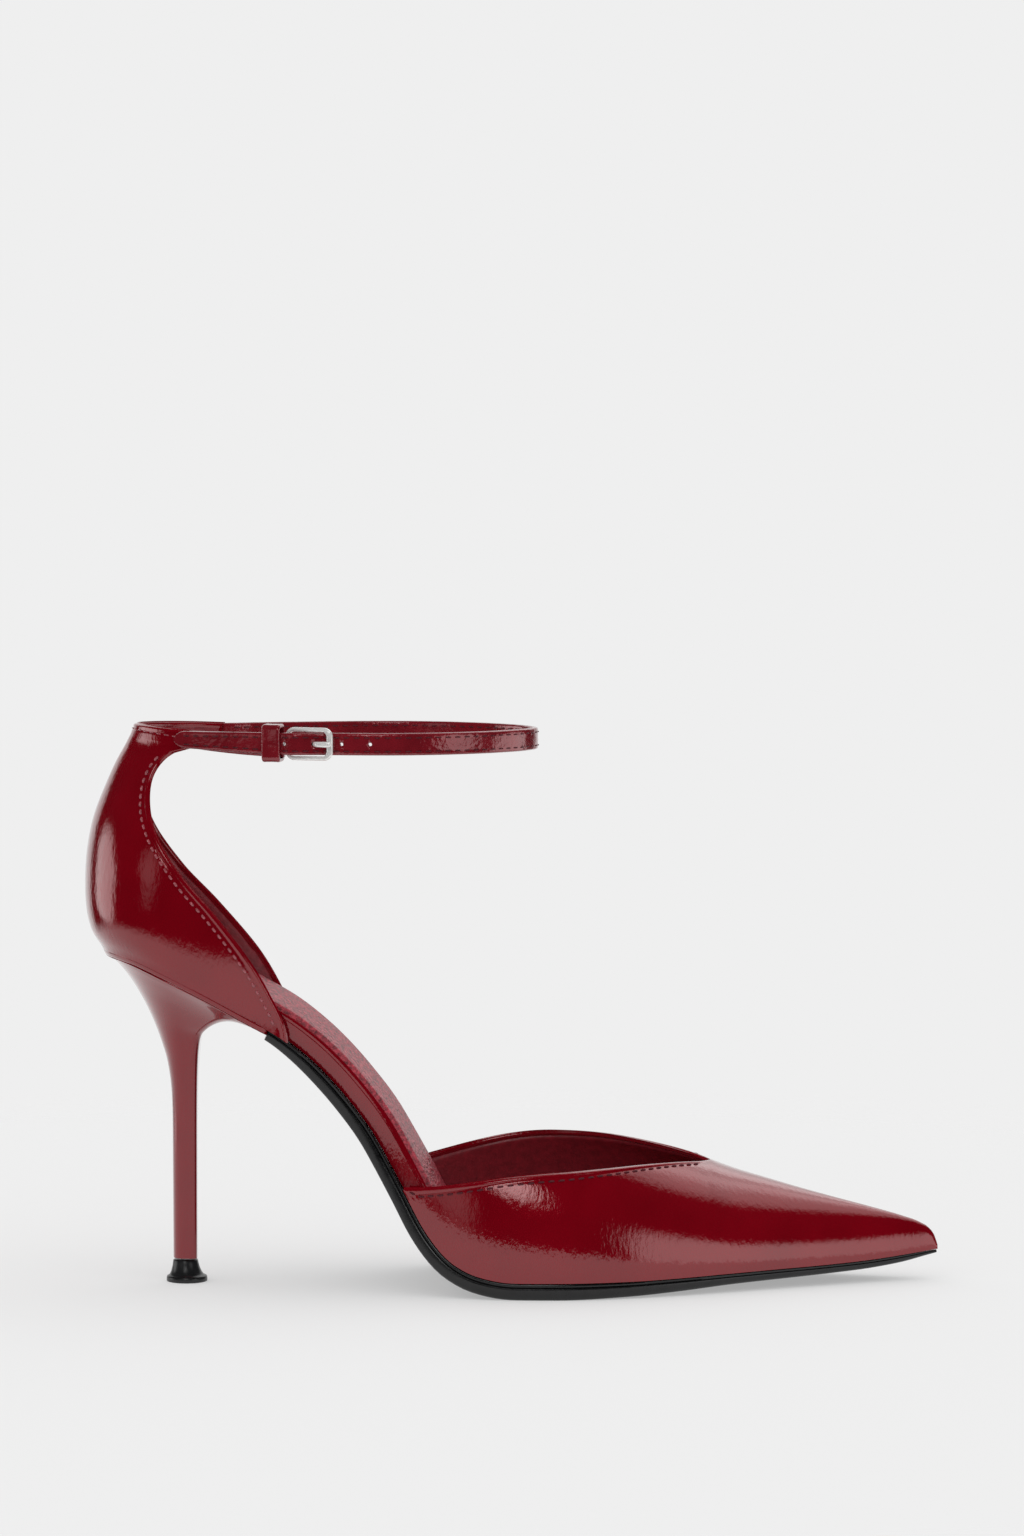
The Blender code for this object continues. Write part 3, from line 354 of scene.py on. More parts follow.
def inset_half(row, inset):
    run = row.x + SEAT_OVERHANG - inset
    share = run / (HEEL_ROUNDING * SOLE_LENGTH - inset)
    return max((row.flat_half - inset) * rounded(share, HEEL_ROUNDNESS), NARROWEST_HALF)


def run_length(path):
    """Length along a path up to each of its points."""
    return np.concatenate([[0], np.cumsum(np.linalg.norm(np.diff(path, axis=0), axis=1))])


def even_places(start, end, count, start_power=1.0):
    """Places in x evenly spaced along the sole's line, closer together at its start."""
    fine = np.linspace(start, end, 1500)
    length = run_length([(x, sole_line(x).z) for x in fine])
    shares = np.linspace(0, 1, count + 1) ** start_power
    return list(np.interp(shares * length[-1], length, fine))


# Mesh helpers

def arc(steps, start=0.0, sweep=90.0):
    """Cosine and sine at even steps along an arc in degrees, both ends included."""
    angles = [math.radians(start + sweep * k / steps) for k in range(steps + 1)]
    return [(math.cos(angle), math.sin(angle)) for angle in angles]


def circle(steps):
    return arc(steps, 0.0, 360.0)[:-1]


def unit(vectors):
    return vectors / np.maximum(np.linalg.norm(vectors, axis=-1, keepdims=True), 1e-12)


def add_mesh(name, points, faces, material, sharp_degrees=40):
    mesh = bpy.data.meshes.new(name)
    mesh.from_pydata([tuple(p) for p in points], [], [tuple(f) for f in faces])
    body = bmesh.new()
    body.from_mesh(mesh)
    bmesh.ops.remove_doubles(body, verts=body.verts, dist=2e-6)
    bmesh.ops.recalc_face_normals(body, faces=body.faces)
    body.to_mesh(mesh)
    body.free()
    mesh.materials.append(material)
    mesh.shade_smooth()
    mesh.set_sharp_from_angle(angle=math.radians(sharp_degrees))
    obj = bpy.data.objects.new(name, mesh)
    bpy.context.scene.collection.objects.link(obj)
    return obj


def add_piece(name, shape, material, nodes=(), sharp_degrees=40):
    finish_piece(add_mesh(name, *shape, material, sharp_degrees), nodes)


def finish_piece(piece, nodes=()):
    if nodes:
        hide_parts(*nodes)
    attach(piece, "root")


def quads(start, rows, columns):
    """Faces of a grid whose points are numbered from a start, row by row."""
    return [(a, a + 1, a + columns + 1, a + columns) for i in range(rows - 1)
            for a in range(start + i * columns, start + (i + 1) * columns - 1)]


def ribbon(first, second):
    """Faces between two lines of point numbers."""
    return [(a, b, d, c) for a, b, c, d in zip(first, first[1:], second, second[1:])]


def loft(loops, closed=False):
    """Points and faces through loops of one count: capped, or joined end to end."""
    count = len(loops[0])
    points = [p for loop in loops for p in loop]
    rings = [[row * count + i % count for i in range(count + 1)] for row in range(len(loops))]
    if closed:
        rings.append(rings[0])
    faces = [face for a, b in zip(rings, rings[1:]) for face in ribbon(a, b)]
    if not closed:
        faces += [tuple(rings[0][:-1]), tuple(reversed(rings[-1][:-1]))]
    return points, faces


def grid_normals(grid):
    return unit(np.cross(np.gradient(grid, axis=0), np.gradient(grid, axis=1)))


def layered_shell(layers):
    """Points and faces of a closed shell: its first and last layers are its two faces, and the
    layers between them round its rim."""
    rows, columns = layers[0].shape[:2]
    points = [p for layer in layers for p in layer.reshape(-1, 3)]
    block = rows * columns
    faces = quads(0, rows, columns) + quads((len(layers) - 1) * block, rows, columns)
    rim = [(0, j) for j in range(columns)] + [(i, columns - 1) for i in range(1, rows)]
    rim += [(rows - 1, j) for j in range(columns - 2, -1, -1)]
    rim += [(i, 0) for i in range(rows - 2, -1, -1)]
    ring = np.array([i * columns + j for i, j in rim])
    for layer in range(len(layers) - 1):
        faces += ribbon(ring + layer * block, ring + (layer + 1) * block)
    return points, faces


def drop_loose(points, faces):
    """Only the points that faces use."""
    used = sorted({i for face in faces for i in face})
    place = {old: new for new, old in enumerate(used)}
    return [points[i] for i in used], [tuple(place[i] for i in face) for face in faces]


# Stitches

def capsule(centre, along, out, length, radius):
    """Points and faces of one stitch; it stands a share of its radius off the surface."""
    across = np.cross(along, out)
    loops = []
    for run, wide in STITCH_PROFILE:
        rise = STITCH_LIFT * radius - STITCH_SAG * run * run
        middle = centre + along * run * length / 2 + out * rise
        loops.append([tuple(middle + radius * wide * (across * c + out * s))
                      for c, s in circle(8)])
    return loft(loops)


def stitch_row(name, path, normals, material, pitch=STITCH_PITCH, radius=STITCH_RADIUS):
    """One mesh of even stitches along a path on a surface."""
    path, normals = np.array(path), np.array(normals)
    run = run_length(path)
    length = STITCH_SHARE * pitch
    points, faces = [], []

    def at(place, values):
        return np.array([np.interp(place, run, values[:, k]) for k in range(3)])

    for i in range(int((run[-1] - length) / pitch) + 1):
        place = length / 2 + i * pitch
        along = unit(at(place + length / 2, path) - at(place - length / 2, path))
        out = at(place, normals)
        out = unit(out - along * (out @ along))
        base = len(points)
        more_points, more_faces = capsule(at(place, path), along, out, length, radius)
        points += more_points
        faces += [tuple(base + i for i in face) for face in more_faces]
    add_piece(name, (points, faces), material)


def sew_counter(grid, normal, distance, thread):
    """A row behind each front edge and one below the top edge."""
    levels = counter_levels()
    for name, order in (("lateral", 1), ("medial", -1)):
        path, normals = [], []
        for i, level in enumerate(levels):
            wanted = COUNTER_SEAM - SEAM_NARROWS * smooth_step(level, 0.7, 0.92)
            row = distance[i, ::order][:20]
            if not 0.03 <= level <= 0.925 or row.max() < wanted:
                continue
            j = int(np.argmax(row > wanted))
            share = (wanted - row[j - 1]) / (row[j] - row[j - 1])
            places = grid[i, ::order]
            path.append(places[j - 1] * (1 - share) + places[j] * share)
            normals.append(normal[i, ::order][j])
        stitch_row(f"counter_stitches_{name}", path, normals, thread, COARSE_PITCH, COARSE_STITCH)
    row = int(np.argmax(np.array(levels) > TOP_SEAM_LEVEL))
    columns = slice(6, grid.shape[1] - 6)
    stitch_row("counter_stitches_top", grid[row, columns], normal[row, columns], thread,
               radius=FINE_STITCH)


# Counter

def counter_row(level):
    row = COUNTER.at(min(level, WING_LEVEL))
    if level > WING_LEVEL:
        share = (level - WING_LEVEL) / (1 - WING_LEVEL)
        for name, value in COUNTER_TOP.items():
            start = getattr(row, name)
            setattr(row, name, start + share * (value - start))
        row.front_half = row.half
    row.back_x = -SEAT_OVERHANG - row.back * COUNTER_BULGE
    row.back_z = SEAT_HEIGHT + row.back_rise * COUNTER_HEIGHT
    row.front_x = -SEAT_OVERHANG + row.front * SOLE_LENGTH
    row.front_z = SEAT_HEIGHT + row.front_rise * COUNTER_HEIGHT
    row.reach = row.round * (SEAT_OVERHANG + BREAST_REACH)
    return row


def wing_front(level, side):
    if level < WING_LEVEL:
        return None
    share = (level - WING_LEVEL) / (1 - WING_LEVEL)
    high = STRAP_CENTRE_HEIGHT + STRAP_WIDTH / 2
    if side > 0:
        return MEDIAL_WING, high - (1 - share) * STRAP_WIDTH
    return LATERAL_WING, high - (1 - share) * (STRAP_WIDTH - WING_EDGE_RISE)


def counter_point(level, share, side):
    row = counter_row(level)
    set_back = row.medial * MEDIAL_SET_BACK if side > 0 else 0.0
    front_x, front_z = wing_front(level, side) or (row.front_x - set_back, row.front_z)
    span = front_x - row.back_x
    run = (1 - math.cos(math.pi / 2 * share)) * span
    x = row.back_x + run
    climb = run / span
    z = row.back_z + (front_z - row.back_z) * climb
    follow = max(0.0, 1 - level / SEAT_FOLLOW_LEVELS)
    seat_chord = SEAT_HEIGHT + (sole_line(front_x).z - SEAT_HEIGHT) * climb
    z += follow * (sole_line(max(x, -SEAT_OVERHANG)).z - seat_chord)
    y = row.half * SEAT_WIDTH * rounded(run / row.reach, row.power)
    if run > row.reach and span > row.reach:
        past = (run - row.reach) / (span - row.reach)
        y -= (row.half - row.front_half) * SEAT_WIDTH * past ** 2
    return np.array((x, side * y, z))


BEAD_STEPS = (0.0, 0.00012, 0.0003, 0.00055, 0.00085, 0.00115, 0.0015, 0.0019, 0.0024, 0.0030,
              0.0038, 0.0048)


def bead_offset(distance):
    """How far the turned edge stands off the plain face at a distance from the rim."""
    if distance < BEAD_RADIUS:
        return BEAD_RISE - BEAD_FALL * (1 - distance / BEAD_RADIUS) ** 2.4
    if distance < GROOVE_PLACE:
        return BEAD_RISE - 2 * BEAD_RISE * smooth_step(distance, BEAD_RADIUS, GROOVE_PLACE)
    return -BEAD_RISE * (1 - smooth_step(distance, GROOVE_PLACE, GROOVE_END))


def bead_offsets(distance):
    return np.vectorize(bead_offset)(distance)


def lining_depths(distance):
    """How deep under the plain face the lining lies at distances from the rim."""
    soft = np.clip((distance - LINING_START) / LINING_FADE, 0, 1)
    hidden = LINING_WALL - LINING_TUCK
    return np.where(distance < LINING_START, hidden, LINING_WALL + LINING_DEPTH * np.sqrt(soft))


def counter_shares(level, side, even):
    """Shares of a level from the front edge to the back: bead steps first, then even ones."""
    fine = np.linspace(1, 0, 400)
    run = run_length([counter_point(level, share, side) for share in fine])
    rest = np.linspace(BEAD_STEPS[-1], run[-1], even + 1)[1:]
    return np.interp(list(BEAD_STEPS) + list(rest), run, fine)


def counter_levels():
    return list(np.linspace(0, 0.90, 55)) + list(TOP_LEVELS)


def nearest_distance(grid, line):
    """Distance of every grid point to a polyline."""
    flat = grid.reshape(-1, 3)
    best = np.full(len(flat), 1.0)
    for a, b in zip(line, line[1:]):
        ab = b - a
        size = max(ab @ ab, 1e-16)
        t = np.clip((flat - a) @ ab / size, 0, 1)
        best = np.minimum(best, np.linalg.norm(flat - (a + t[:, None] * ab), axis=1))
    return best.reshape(grid.shape[:2])


def counter_grid():
    rows = []
    for level in counter_levels():
        lateral = [counter_point(level, s, -1) for s in counter_shares(level, -1, COUNTER_STEPS)]
        medial = [counter_point(level, s, 1) for s in counter_shares(level, 1, COUNTER_STEPS)]
        rows.append(lateral + medial[-2::-1])
    grid = np.array(rows)
    grid[0, :, 2] = [sole_line(max(x, -SEAT_OVERHANG)).z - SEAM_TUCK for x in grid[0, :, 0]]
    normal = grid_normals(grid)
    middle = grid.shape[1] // 2
    if normal[10, middle, 0] > 0:
        normal = -normal
    return grid, normal


def shell_layers(grid, normal, distance, push):
    """Layers of a shell with a turned rim from its outer to its inner face."""
    offset = bead_offsets(distance)[..., None]
    outer, inner = grid + normal * offset, grid - normal * (LINING_WALL + offset)
    between = [outer + (inner - outer) * share + push * amount for share, amount in RIM_STEPS]
    return [outer, *between, inner]


def outward_push(grid):
    """Unit steps off the rim, zero inside: along the first and last columns and the last row."""
    push = np.zeros_like(grid)
    push[:, 0] += unit(grid[:, 0] - grid[:, 2])
    push[:, -1] += unit(grid[:, -1] - grid[:, -3])
    push[-1] += unit(grid[-1] - grid[-3])
    return push


def make_counter(patent, lining, thread):
    grid, normal = counter_grid()
    rim = np.concatenate([grid[:, 0], grid[-1], grid[::-1, -1]])
    distance = nearest_distance(grid, rim)
    outside = shell_layers(grid, normal, distance, outward_push(grid))
    outside = drop_loose(*layered_shell(outside))
    add_piece("counter_upper", outside, patent, ("counter",))
    inside = [grid - normal * (LINING_WALL - LINING_BACK),
              grid - normal * lining_depths(distance)[..., None]]
    add_piece("counter_lining", drop_loose(*layered_shell(inside)), lining)
    sew_counter(grid, normal, distance, thread)


# Vamp

def vamp_section(x, side):
    row = sole_line(min(x, SOLE_FRONT))
    form = VAMP.at((x - VAMP_START) / (TOE_TIP - VAMP_START))
    ridge = form.ridge * THROAT_HEIGHT
    low = row.z + GAP
    half = max(row.half, SLOPE_STEP)
    height = max(ridge - low, SLOPE_STEP)
    swell = half * (1 + VAMP_BULGE * min(1.0, half / NARROW_TOE))
    corners = np.array((
        (half, low),
        (swell, low + form.stand * height),
        (form.crest * half, ridge),
        (0.0, ridge),
    ))

    def point(t):
        weights = np.array(((1 - t) ** 3, 3 * t * (1 - t) ** 2, 3 * t * t * (1 - t), t ** 3))
        y, z = weights @ corners
        return row.centre + side * y, z

    return point


def topline_share(x, side):
    if x >= THROAT_POINT:
        return 1.0
    row = TOPLINE.at((x - VAMP_START) / (THROAT_POINT - VAMP_START))
    height = (row.lateral if side < 0 else row.medial) * THROAT_HEIGHT
    point = vamp_section(x, side)
    low, high = 0.0, 1.0
    for _ in range(40):
        middle = (low + high) / 2
        if point(middle)[1] < height:
            low = middle
        else:
            high = middle
    return low


def vamp_column(x, side, even):
    """Points of one section from the topline, or the ridge, down to the feather line."""
    point = vamp_section(x, side)
    path = np.array([(x, *point(t)) for t in np.linspace(topline_share(x, side), 0, 160)])
    run = run_length(path)
    steps = [step * min(1.0, 0.5 * run[-1] / BEAD_STEPS[-1]) for step in BEAD_STEPS]
    wanted = steps + list(np.linspace(steps[-1], run[-1], even + 1)[1:])
    return np.array([np.interp(wanted, run, path[:, k]) for k in range(3)]).T


def vamp_places():
    open_part = np.linspace(0, 1, 64) ** 1.15
    closed_part = 1 - (1 - np.linspace(0, 1, 46)) ** 1.35
    places = [VAMP_START + (0.004 + 0.996 * s) * (THROAT_POINT - VAMP_START) for s in open_part]
    places += [THROAT_POINT + s * (TOE_TIP - THROAT_POINT) for s in closed_part[1:]]
    return places, len(open_part) - 1


def vamp_side(side, even=26):
    places, apex = vamp_places()
    grid = np.array([vamp_column(x, side, even) for x in places])
    normal = grid_normals(grid)
    if normal[20, 20, 1] * side < 0:
        normal = -normal
    slope = np.gradient(grid[apex:, 0, 2]) / np.gradient(grid[apex:, 0, 0])
    normal[apex:, 0] = unit(np.stack([-slope, 0 * slope, 1 + 0 * slope], axis=1))
    return places, apex, grid, normal


def vamp_faces(side):
    """One side of the vamp: its plain grid, and its outer, inner and lining faces."""
    places, apex, grid, normal = vamp_side(side)
    distance = nearest_distance(grid, grid[:apex + 1, 0])
    near_throat = [smooth_step(THROAT_POINT - x, -0.0005, 0.005) for x in places]
    near_throat = np.array(near_throat)[:, None]
    lines = [sole_line(min(x, SOLE_FRONT)) for x in places]
    middle = np.array([line.centre for line in lines])[:, None]
    slim = np.array([min(1.0, line.half / SLIM_TOE) for line in lines])[:, None]
    offset = bead_offsets(distance) * near_throat
    toe_share = np.clip((grid[..., 0] - THROAT_POINT) / (TOE_TIP - THROAT_POINT), 0, 1)

    def inside(depth, puff):
        face = grid - normal * depth[..., None]
        face[..., 0] -= puff * toe_share ** 2
        face[..., 1] = np.where(side * (face[..., 1] - middle) < 0, middle, face[..., 1])
        return face

    return SimpleNamespace(
        grid=grid, normal=normal, apex=apex, outer=grid + normal * offset[..., None],
        inner=inside(LINING_WALL * slim + offset, 0.9 * TOE_PUFF),
        lining=inside(lining_depths(distance) * slim, TOE_PUFF),
        push=unit(grid[:apex + 1, 0] - grid[:apex + 1, 2]) * near_throat[:apex + 1],
    )


def make_vamp(patent, lining, thread):
    points, faces = [], []
    lining_points, lining_faces = [], []
    sides = {"lateral": vamp_faces(-1), "medial": vamp_faces(1)}
    for half in sides.values():
        rows, columns = half.grid.shape[:2]
        rim_end = half.apex + 1
        outer, inner = len(points), len(points) + rows * columns
        points += [*half.outer.reshape(-1, 3), *half.inner.reshape(-1, 3)]
        faces += quads(outer, rows, columns) + quads(inner, rows, columns)
        rim = range(outer, outer + rim_end * columns, columns)
        for share, amount in RIM_STEPS:
            line = half.outer[:rim_end, 0] * (1 - share) + half.inner[:rim_end, 0] * share
            after = range(len(points), len(points) + rim_end)
            points += [*(line + half.push * amount)]
            faces += ribbon(rim, after)
            rim = after
        faces += ribbon(rim, range(inner, inner + rim_end * columns, columns))
        for first, last, step in ((columns - 1, rows * columns, columns), (0, columns, 1)):
            faces += ribbon(range(outer + first, outer + last, step),
                            range(inner + first, inner + last, step))
        lining_faces += quads(len(lining_points), rows, columns)
        lining_points += [*half.lining.reshape(-1, 3)]
    outside = drop_loose(points, faces)
    add_piece("vamp_upper", outside, patent, ("vamp",))
    add_piece("vamp_lining", drop_loose(lining_points, lining_faces), lining)
    for name, half in sides.items():
        sewn = slice(2, int(half.apex * 0.985))
        stitch_row(f"vamp_stitches_{name}", half.grid[sewn, SEAM_COLUMN],
                   half.normal[sewn, SEAM_COLUMN], thread)


# Bottom

def slab(places, section):
    loops = []
    for x in places:
        row = sole_frame(x)
        loop = []
        for across, up in section(row):
            height = row.z + row.nz * up
            loop.append((row.x + row.nx * up, row.centre + across, max(height, 0.0)))
        loops.append(loop)
    return loops


def mirrored(half_section):
    return [(-a, up) for a, up in half_section] + [(a, up) for a, up in reversed(half_section)]


# How far in the outsole's edge lies, in steps, in bevels and in metres, by its share of depth
SOLE_SECTION = (
    (1.0, 0.0, 0.0008, 0.0), (1.0, 0.0, 0.0001, 0.0), (1.0, 0.0, 0.0, 0.02), (1.0, 0.0, 0.0, 0.20),
    (1.0, 0.0, 0.00015, 0.235), (0.35, 0.0, 0.0, 0.26), (0.05, 0.0, 0.0, 0.275),
    (0.0, 0.0, 0.0, 0.30), (0.0, 0.0, -0.00002, 0.40), (0.0, 0.08, 0.0, 0.56),
    (0.0, 0.2, 0.0, 0.72), (0.0, 0.36, 0.0, 0.82), (0.0, 0.62, 0.0, 0.93), (0.0, 1.0, 0.0, 1.0),
    (0.0, 1.6, 0.0, 1.0),
)


def make_outsole(material):
    def section(row):
        deep = row.sole_thickness
        half = max(row.half, NARROWEST_HALF)
        step = min(SOLE_STEP, half * 0.4)
        bevel = min(SOLE_BEVEL, half * 0.5)
        right = [(half - steps * step - bevels * bevel - more, -depth * deep)
                 for steps, bevels, more, depth in SOLE_SECTION]
        return mirrored(right + [(0.5 * half, -deep)])

    places = even_places(BREAST_REACH + SOLE_START_GAP, SOLE_FRONT, 110)
    places = sorted(places + [SOLE_FRONT - 0.0001])
    add_piece("sole_unit", loft(slab(places, section)), material, ("outsole",), 50)


def soft_corner(half, top, soft, steps):
    """Points round a slab's upper edge, from its side to its top."""
    return [(half - soft + soft * c, top - soft + soft * s) for c, s in arc(steps)]


def make_insole(material):
    def section(row):
        half = inset_half(row, UPPER_WALL + GAP)
        top = GAP + row.insole_thickness
        soft = min(0.0009, half * 0.4)
        right = [(half - WRAP_LEAN, GAP), (half - 0.65 * WRAP_LEAN, 0.35 * top),
                 (half, top - 1.9 * soft)]
        right += [(half - FOLD_DEPTH, top - 1.75 * soft), (half - FOLD_DEPTH, top - 1.62 * soft)]
        return mirrored(right + soft_corner(half, top, soft, 5) + [(0.5 * half, top)])

    back = -SEAT_OVERHANG + UPPER_WALL + GAP
    places = even_places(back, SOLE_FRONT - INSOLE_TOE_MARGIN, 110, 1.08)
    add_piece("insole_wrap", loft(slab(places, section)), material, ("insole",), 60)


def make_sock(material):
    def section(row):
        half = inset_half(row, UPPER_WALL + GAP + SOCK_INSET)
        top = 2 * GAP + row.insole_thickness + SOCK_THICKNESS
        soft = min(0.0006, half * 0.4)
        right = [(half, 0.5 * GAP + row.insole_thickness), (half, top - soft)]
        right += soft_corner(half, top, soft, 4)[1:]
        return mirrored(right + [(0.7 * half, top), (0.35 * half, top)])

    back = -SEAT_OVERHANG + UPPER_WALL + GAP + SOCK_INSET
    places = even_places(back, SOLE_FRONT - INSOLE_TOE_MARGIN - SOCK_INSET, 110, 1.08)
    add_piece("sock_lining", loft(slab(places, section)), material, ("sock",), 60)


# Heel

def heel_outline(length, half, corner):
    reach = 0.55 * length
    corner = min(corner, 0.42 * half, 0.3 * length)
    side = [(reach * (1 - c), half * rounded(1 - c, HEEL_ROUNDNESS)) for c, s in arc(18)]
    side += [(reach + (length - corner - reach) * k / 5, half) for k in range(1, 5)]
    side += [(length - corner * (1 - s), half - corner * (1 - c)) for c, s in arc(7)]
    side.append((length, 0.4 * (half - corner)))
    return side + [(a, -y) for a, y in reversed(side[1:])]


def heel_loop(row, proud=0.0, drop=0.0):
    rise = SEAT_HEIGHT - TIP_HEIGHT
    back_x = -STEM_SET_BACK - STEM_DEPTH / 2
    back_x -= row.flare * (SEAT_OVERHANG + back_x) + proud
    breast_x = -STEM_SET_BACK + STEM_DEPTH / 2
    breast_x += row.reach * (BREAST_REACH - breast_x)
    back_z = TIP_HEIGHT + row.back_rise * rise
    breast_z = TIP_HEIGHT + row.breast_rise * rise
    half = STEM_WIDTH / 2 + row.spread * (SEAT_WIDTH - STEM_WIDTH) / 2
    corner = STEM_CORNER + row.spread * (BLOCK_CORNER - STEM_CORNER)
    length = breast_x - back_x
    loop = []
    for along, across in heel_outline(length, half + proud, corner):
        x = back_x + along
        chord = back_z + (breast_z - back_z) * along / length
        seat = sole_line(max(x, -SEAT_OVERHANG)).z - drop
        loop.append((x, across, chord + row.follow * (seat - chord)))
    return loop


def make_heel(material):
    loops = [heel_loop(HEEL.at(step), drop=STRIP_HEIGHT) for step in np.linspace(0, 11, 78)]
    seat = SimpleNamespace(back_rise=1.0, breast_rise=0.75, reach=1.0, follow=1.0)
    for proud, drop in ((0.0, 1.12), (-0.00012, 1.04), (-0.0001, 1.0), (0.2 * STRIP_PROUD, 0.95),
                        (0.8 * STRIP_PROUD, 0.84), (STRIP_PROUD, 0.7), (STRIP_PROUD, 0.35),
                        (0.8 * STRIP_PROUD, 0.18), (0.2 * STRIP_PROUD, 0.05), (-0.0002, 0.0)):
        seat.flare, seat.spread = (1 - lean * drop for lean in STRIP_LEAN)
        loops.append(heel_loop(seat, proud=proud, drop=drop * STRIP_HEIGHT))
    add_piece("heel_block", loft(loops), material, ("heel",), 60)


def make_heel_tip(material):
    top = TIP_HEIGHT - GAP
    base = TIP_BASE_DIAMETER / 2
    neck = TIP_TOP_DIAMETER / 2
    profile = [
        (0.2 * neck, top, 1.0), (neck - 0.0003, top, 1.0), (neck - 0.0001, top - 0.0001, 1.0),
        (neck, top - 0.0003, 1.0), (1.03 * neck, 0.86 * top, 0.9), (1.08 * neck, 0.72 * top, 0.8),
        (1.15 * neck, 0.57 * top, 0.65), (1.24 * neck, 0.44 * top, 0.5),
        (1.34 * neck, 0.35 * top, 0.3), (0.85 * base, 0.30 * top, 0.2),
        (0.92 * base, 0.275 * top, 0.0), (0.965 * base, 0.25 * top, 0.0),
        (0.99 * base, 0.21 * top, 0.0), (base, 0.15 * top, 0.0), (base, 0.06 * top, 0.0),
        (0.985 * base, 0.015 * top, 0.0), (0.955 * base, 0.0, 0.0), (0.4 * base, 0.0, 0.0),
    ]
    loops = [
        [(radius * c - shift * STEM_SET_BACK, radius * s, height) for c, s in circle(56)]
        for radius, height, shift in profile
    ]
    add_piece("top_piece", loft(loops), material, ("heel_tip",), 40)


# Ankle strap

def ring_curve():
    lateral, medial = [], []
    for side, found in ((-1, lateral), (1, medial)):
        for share in (0.70, 0.80, 0.90, 1.00):
            x, y, _ = counter_point(WING_LEVEL, share, side)
            found.append((x, y - side * UPPER_WALL / 2))
        found += [(x * RING_LENGTH, side * y * RING_HALF_WIDTH) for x, y in RING_ROWS]
    medial.reverse()
    knots = [Vector((x, y, 0)) for x, y in lateral + [(RING_LENGTH, 0.0)] + medial]
    chord = [0.0]
    for a, b in zip(knots, knots[1:]):
        chord.append(chord[-1] + (b - a).length)
    table = Table(("run", "x", "y"), [(s, p.x, p.y) for s, p in zip(chord, knots)])
    samples = np.linspace(0, chord[-1], 900)
    return np.array([(row.x, row.y) for row in map(table.at, samples)])


RING = ring_curve()
RING_RUN = run_length(RING)


def ring_at(run):
    return np.array([np.interp(run, RING_RUN, RING[:, k]) for k in (0, 1)])


def ring_point(run, offset):
    dx, dy = ring_at(run + 3 * SLOPE_STEP) - ring_at(run - 3 * SLOPE_STEP)
    x, y = ring_at(run)
    size = math.hypot(dx, dy)
    return x + dy / size * offset, y - dx / size * offset


def lateral_run(x):
    half = len(RING) // 2
    return float(np.interp(x, RING[:half, 0], RING_RUN[:half]))


def medial_run(x):
    half = len(RING) // 2
    return float(np.interp(-x, -RING[half:, 0], RING_RUN[half:]))


HINGE_RUN = lateral_run(HINGE_PLACE)
OUTER_LAYER = (max(UPPER_WALL, STRAP_THICKNESS) + STRAP_THICKNESS) / 2 + 1.5 * GAP
FRONT_BAR_OFFSET = STRAP_THICKNESS / 2 + GAP + BUCKLE_WIRE / 2


def strap_offset(run):
    start, end = HINGE_RUN + 0.12 * BUCKLE_LENGTH, HINGE_RUN + 0.91 * BUCKLE_LENGTH
    return OUTER_LAYER * (1 - smooth_step(run, start, end))


def strap_section(low, high):
    """(offset, height) pairs round a strap: two plies with soft folded edges."""
    out, soft = STRAP_THICKNESS / 2, 0.36 * STRAP_THICKNESS
    lower, middle, upper = (low * 3 + high) / 4, (low + high) / 2, (low + high * 3) / 4
    first = [(-out * c, low + soft * (1 - s)) for c, s in arc(6, 0, 180)]
    second = [(out * c, high - soft * (1 - s)) for c, s in arc(6, 0, 180)]
    return (first + [(out, lower), (1.02 * out, middle), (out, upper)]
            + second + [(-out, upper), (-out, middle), (-out, lower)])


def strap_edges(run):
    """Lower and upper edge of the long strap at a run, before its tip rounds."""
    tip = lateral_run(STRAP_TIP)
    taper = STRAP_TIP_TAPER * max(0.0, (HINGE_RUN - run) / (HINGE_RUN - tip))
    half = STRAP_WIDTH / 2
    return STRAP_CENTRE_HEIGHT - half + taper, STRAP_CENTRE_HEIGHT + half


def strap_loop(run, offset, low, high):
    """Points round a strap at a run, at an offset from the ring's line."""
    return [(*ring_point(run, offset + out), height) for out, height in strap_section(low, high)]


def make_ankle_strap(material, thread):
    tip, root = lateral_run(STRAP_TIP), medial_run(MEDIAL_WING - 0.0003)
    half = STRAP_WIDTH / 2
    stations = []
    for k in range(10):
        turn = math.pi / 2 * (k + 0.3) / 9.3
        stations.append((tip + half * (1 - math.cos(turn)), math.sin(turn)))
    runs = list(np.linspace(tip + 1.1 * half, HINGE_RUN, 26))
    runs += list(np.linspace(HINGE_RUN, HINGE_RUN + BUCKLE_LENGTH, 26)[1:])
    runs += list(np.linspace(HINGE_RUN + BUCKLE_LENGTH, root, 150)[1:])
    stations += [(run, 1.0) for run in runs]
    loops = []
    for run, share in stations:
        low, high = strap_edges(run)
        middle, tall = (low + high) / 2, share * (high - low) / 2
        loops.append(strap_loop(run, strap_offset(run), middle - tall, middle + tall))
    strap = add_mesh("long_strap", *loft(loops), material, 60)
    cut_holes(strap)
    finish_piece(strap, ("ankle_strap",))
    sew_strap(thread, tip, root)


def hole_runs():
    """Runs of the strap's punched holes, either side of the one that the prong is in."""
    middle = HINGE_RUN + PRONG_HOLE_SHARE * BUCKLE_LENGTH
    return [middle - HOLE_PITCH, middle, middle + HOLE_PITCH, middle + 2 * HOLE_PITCH]


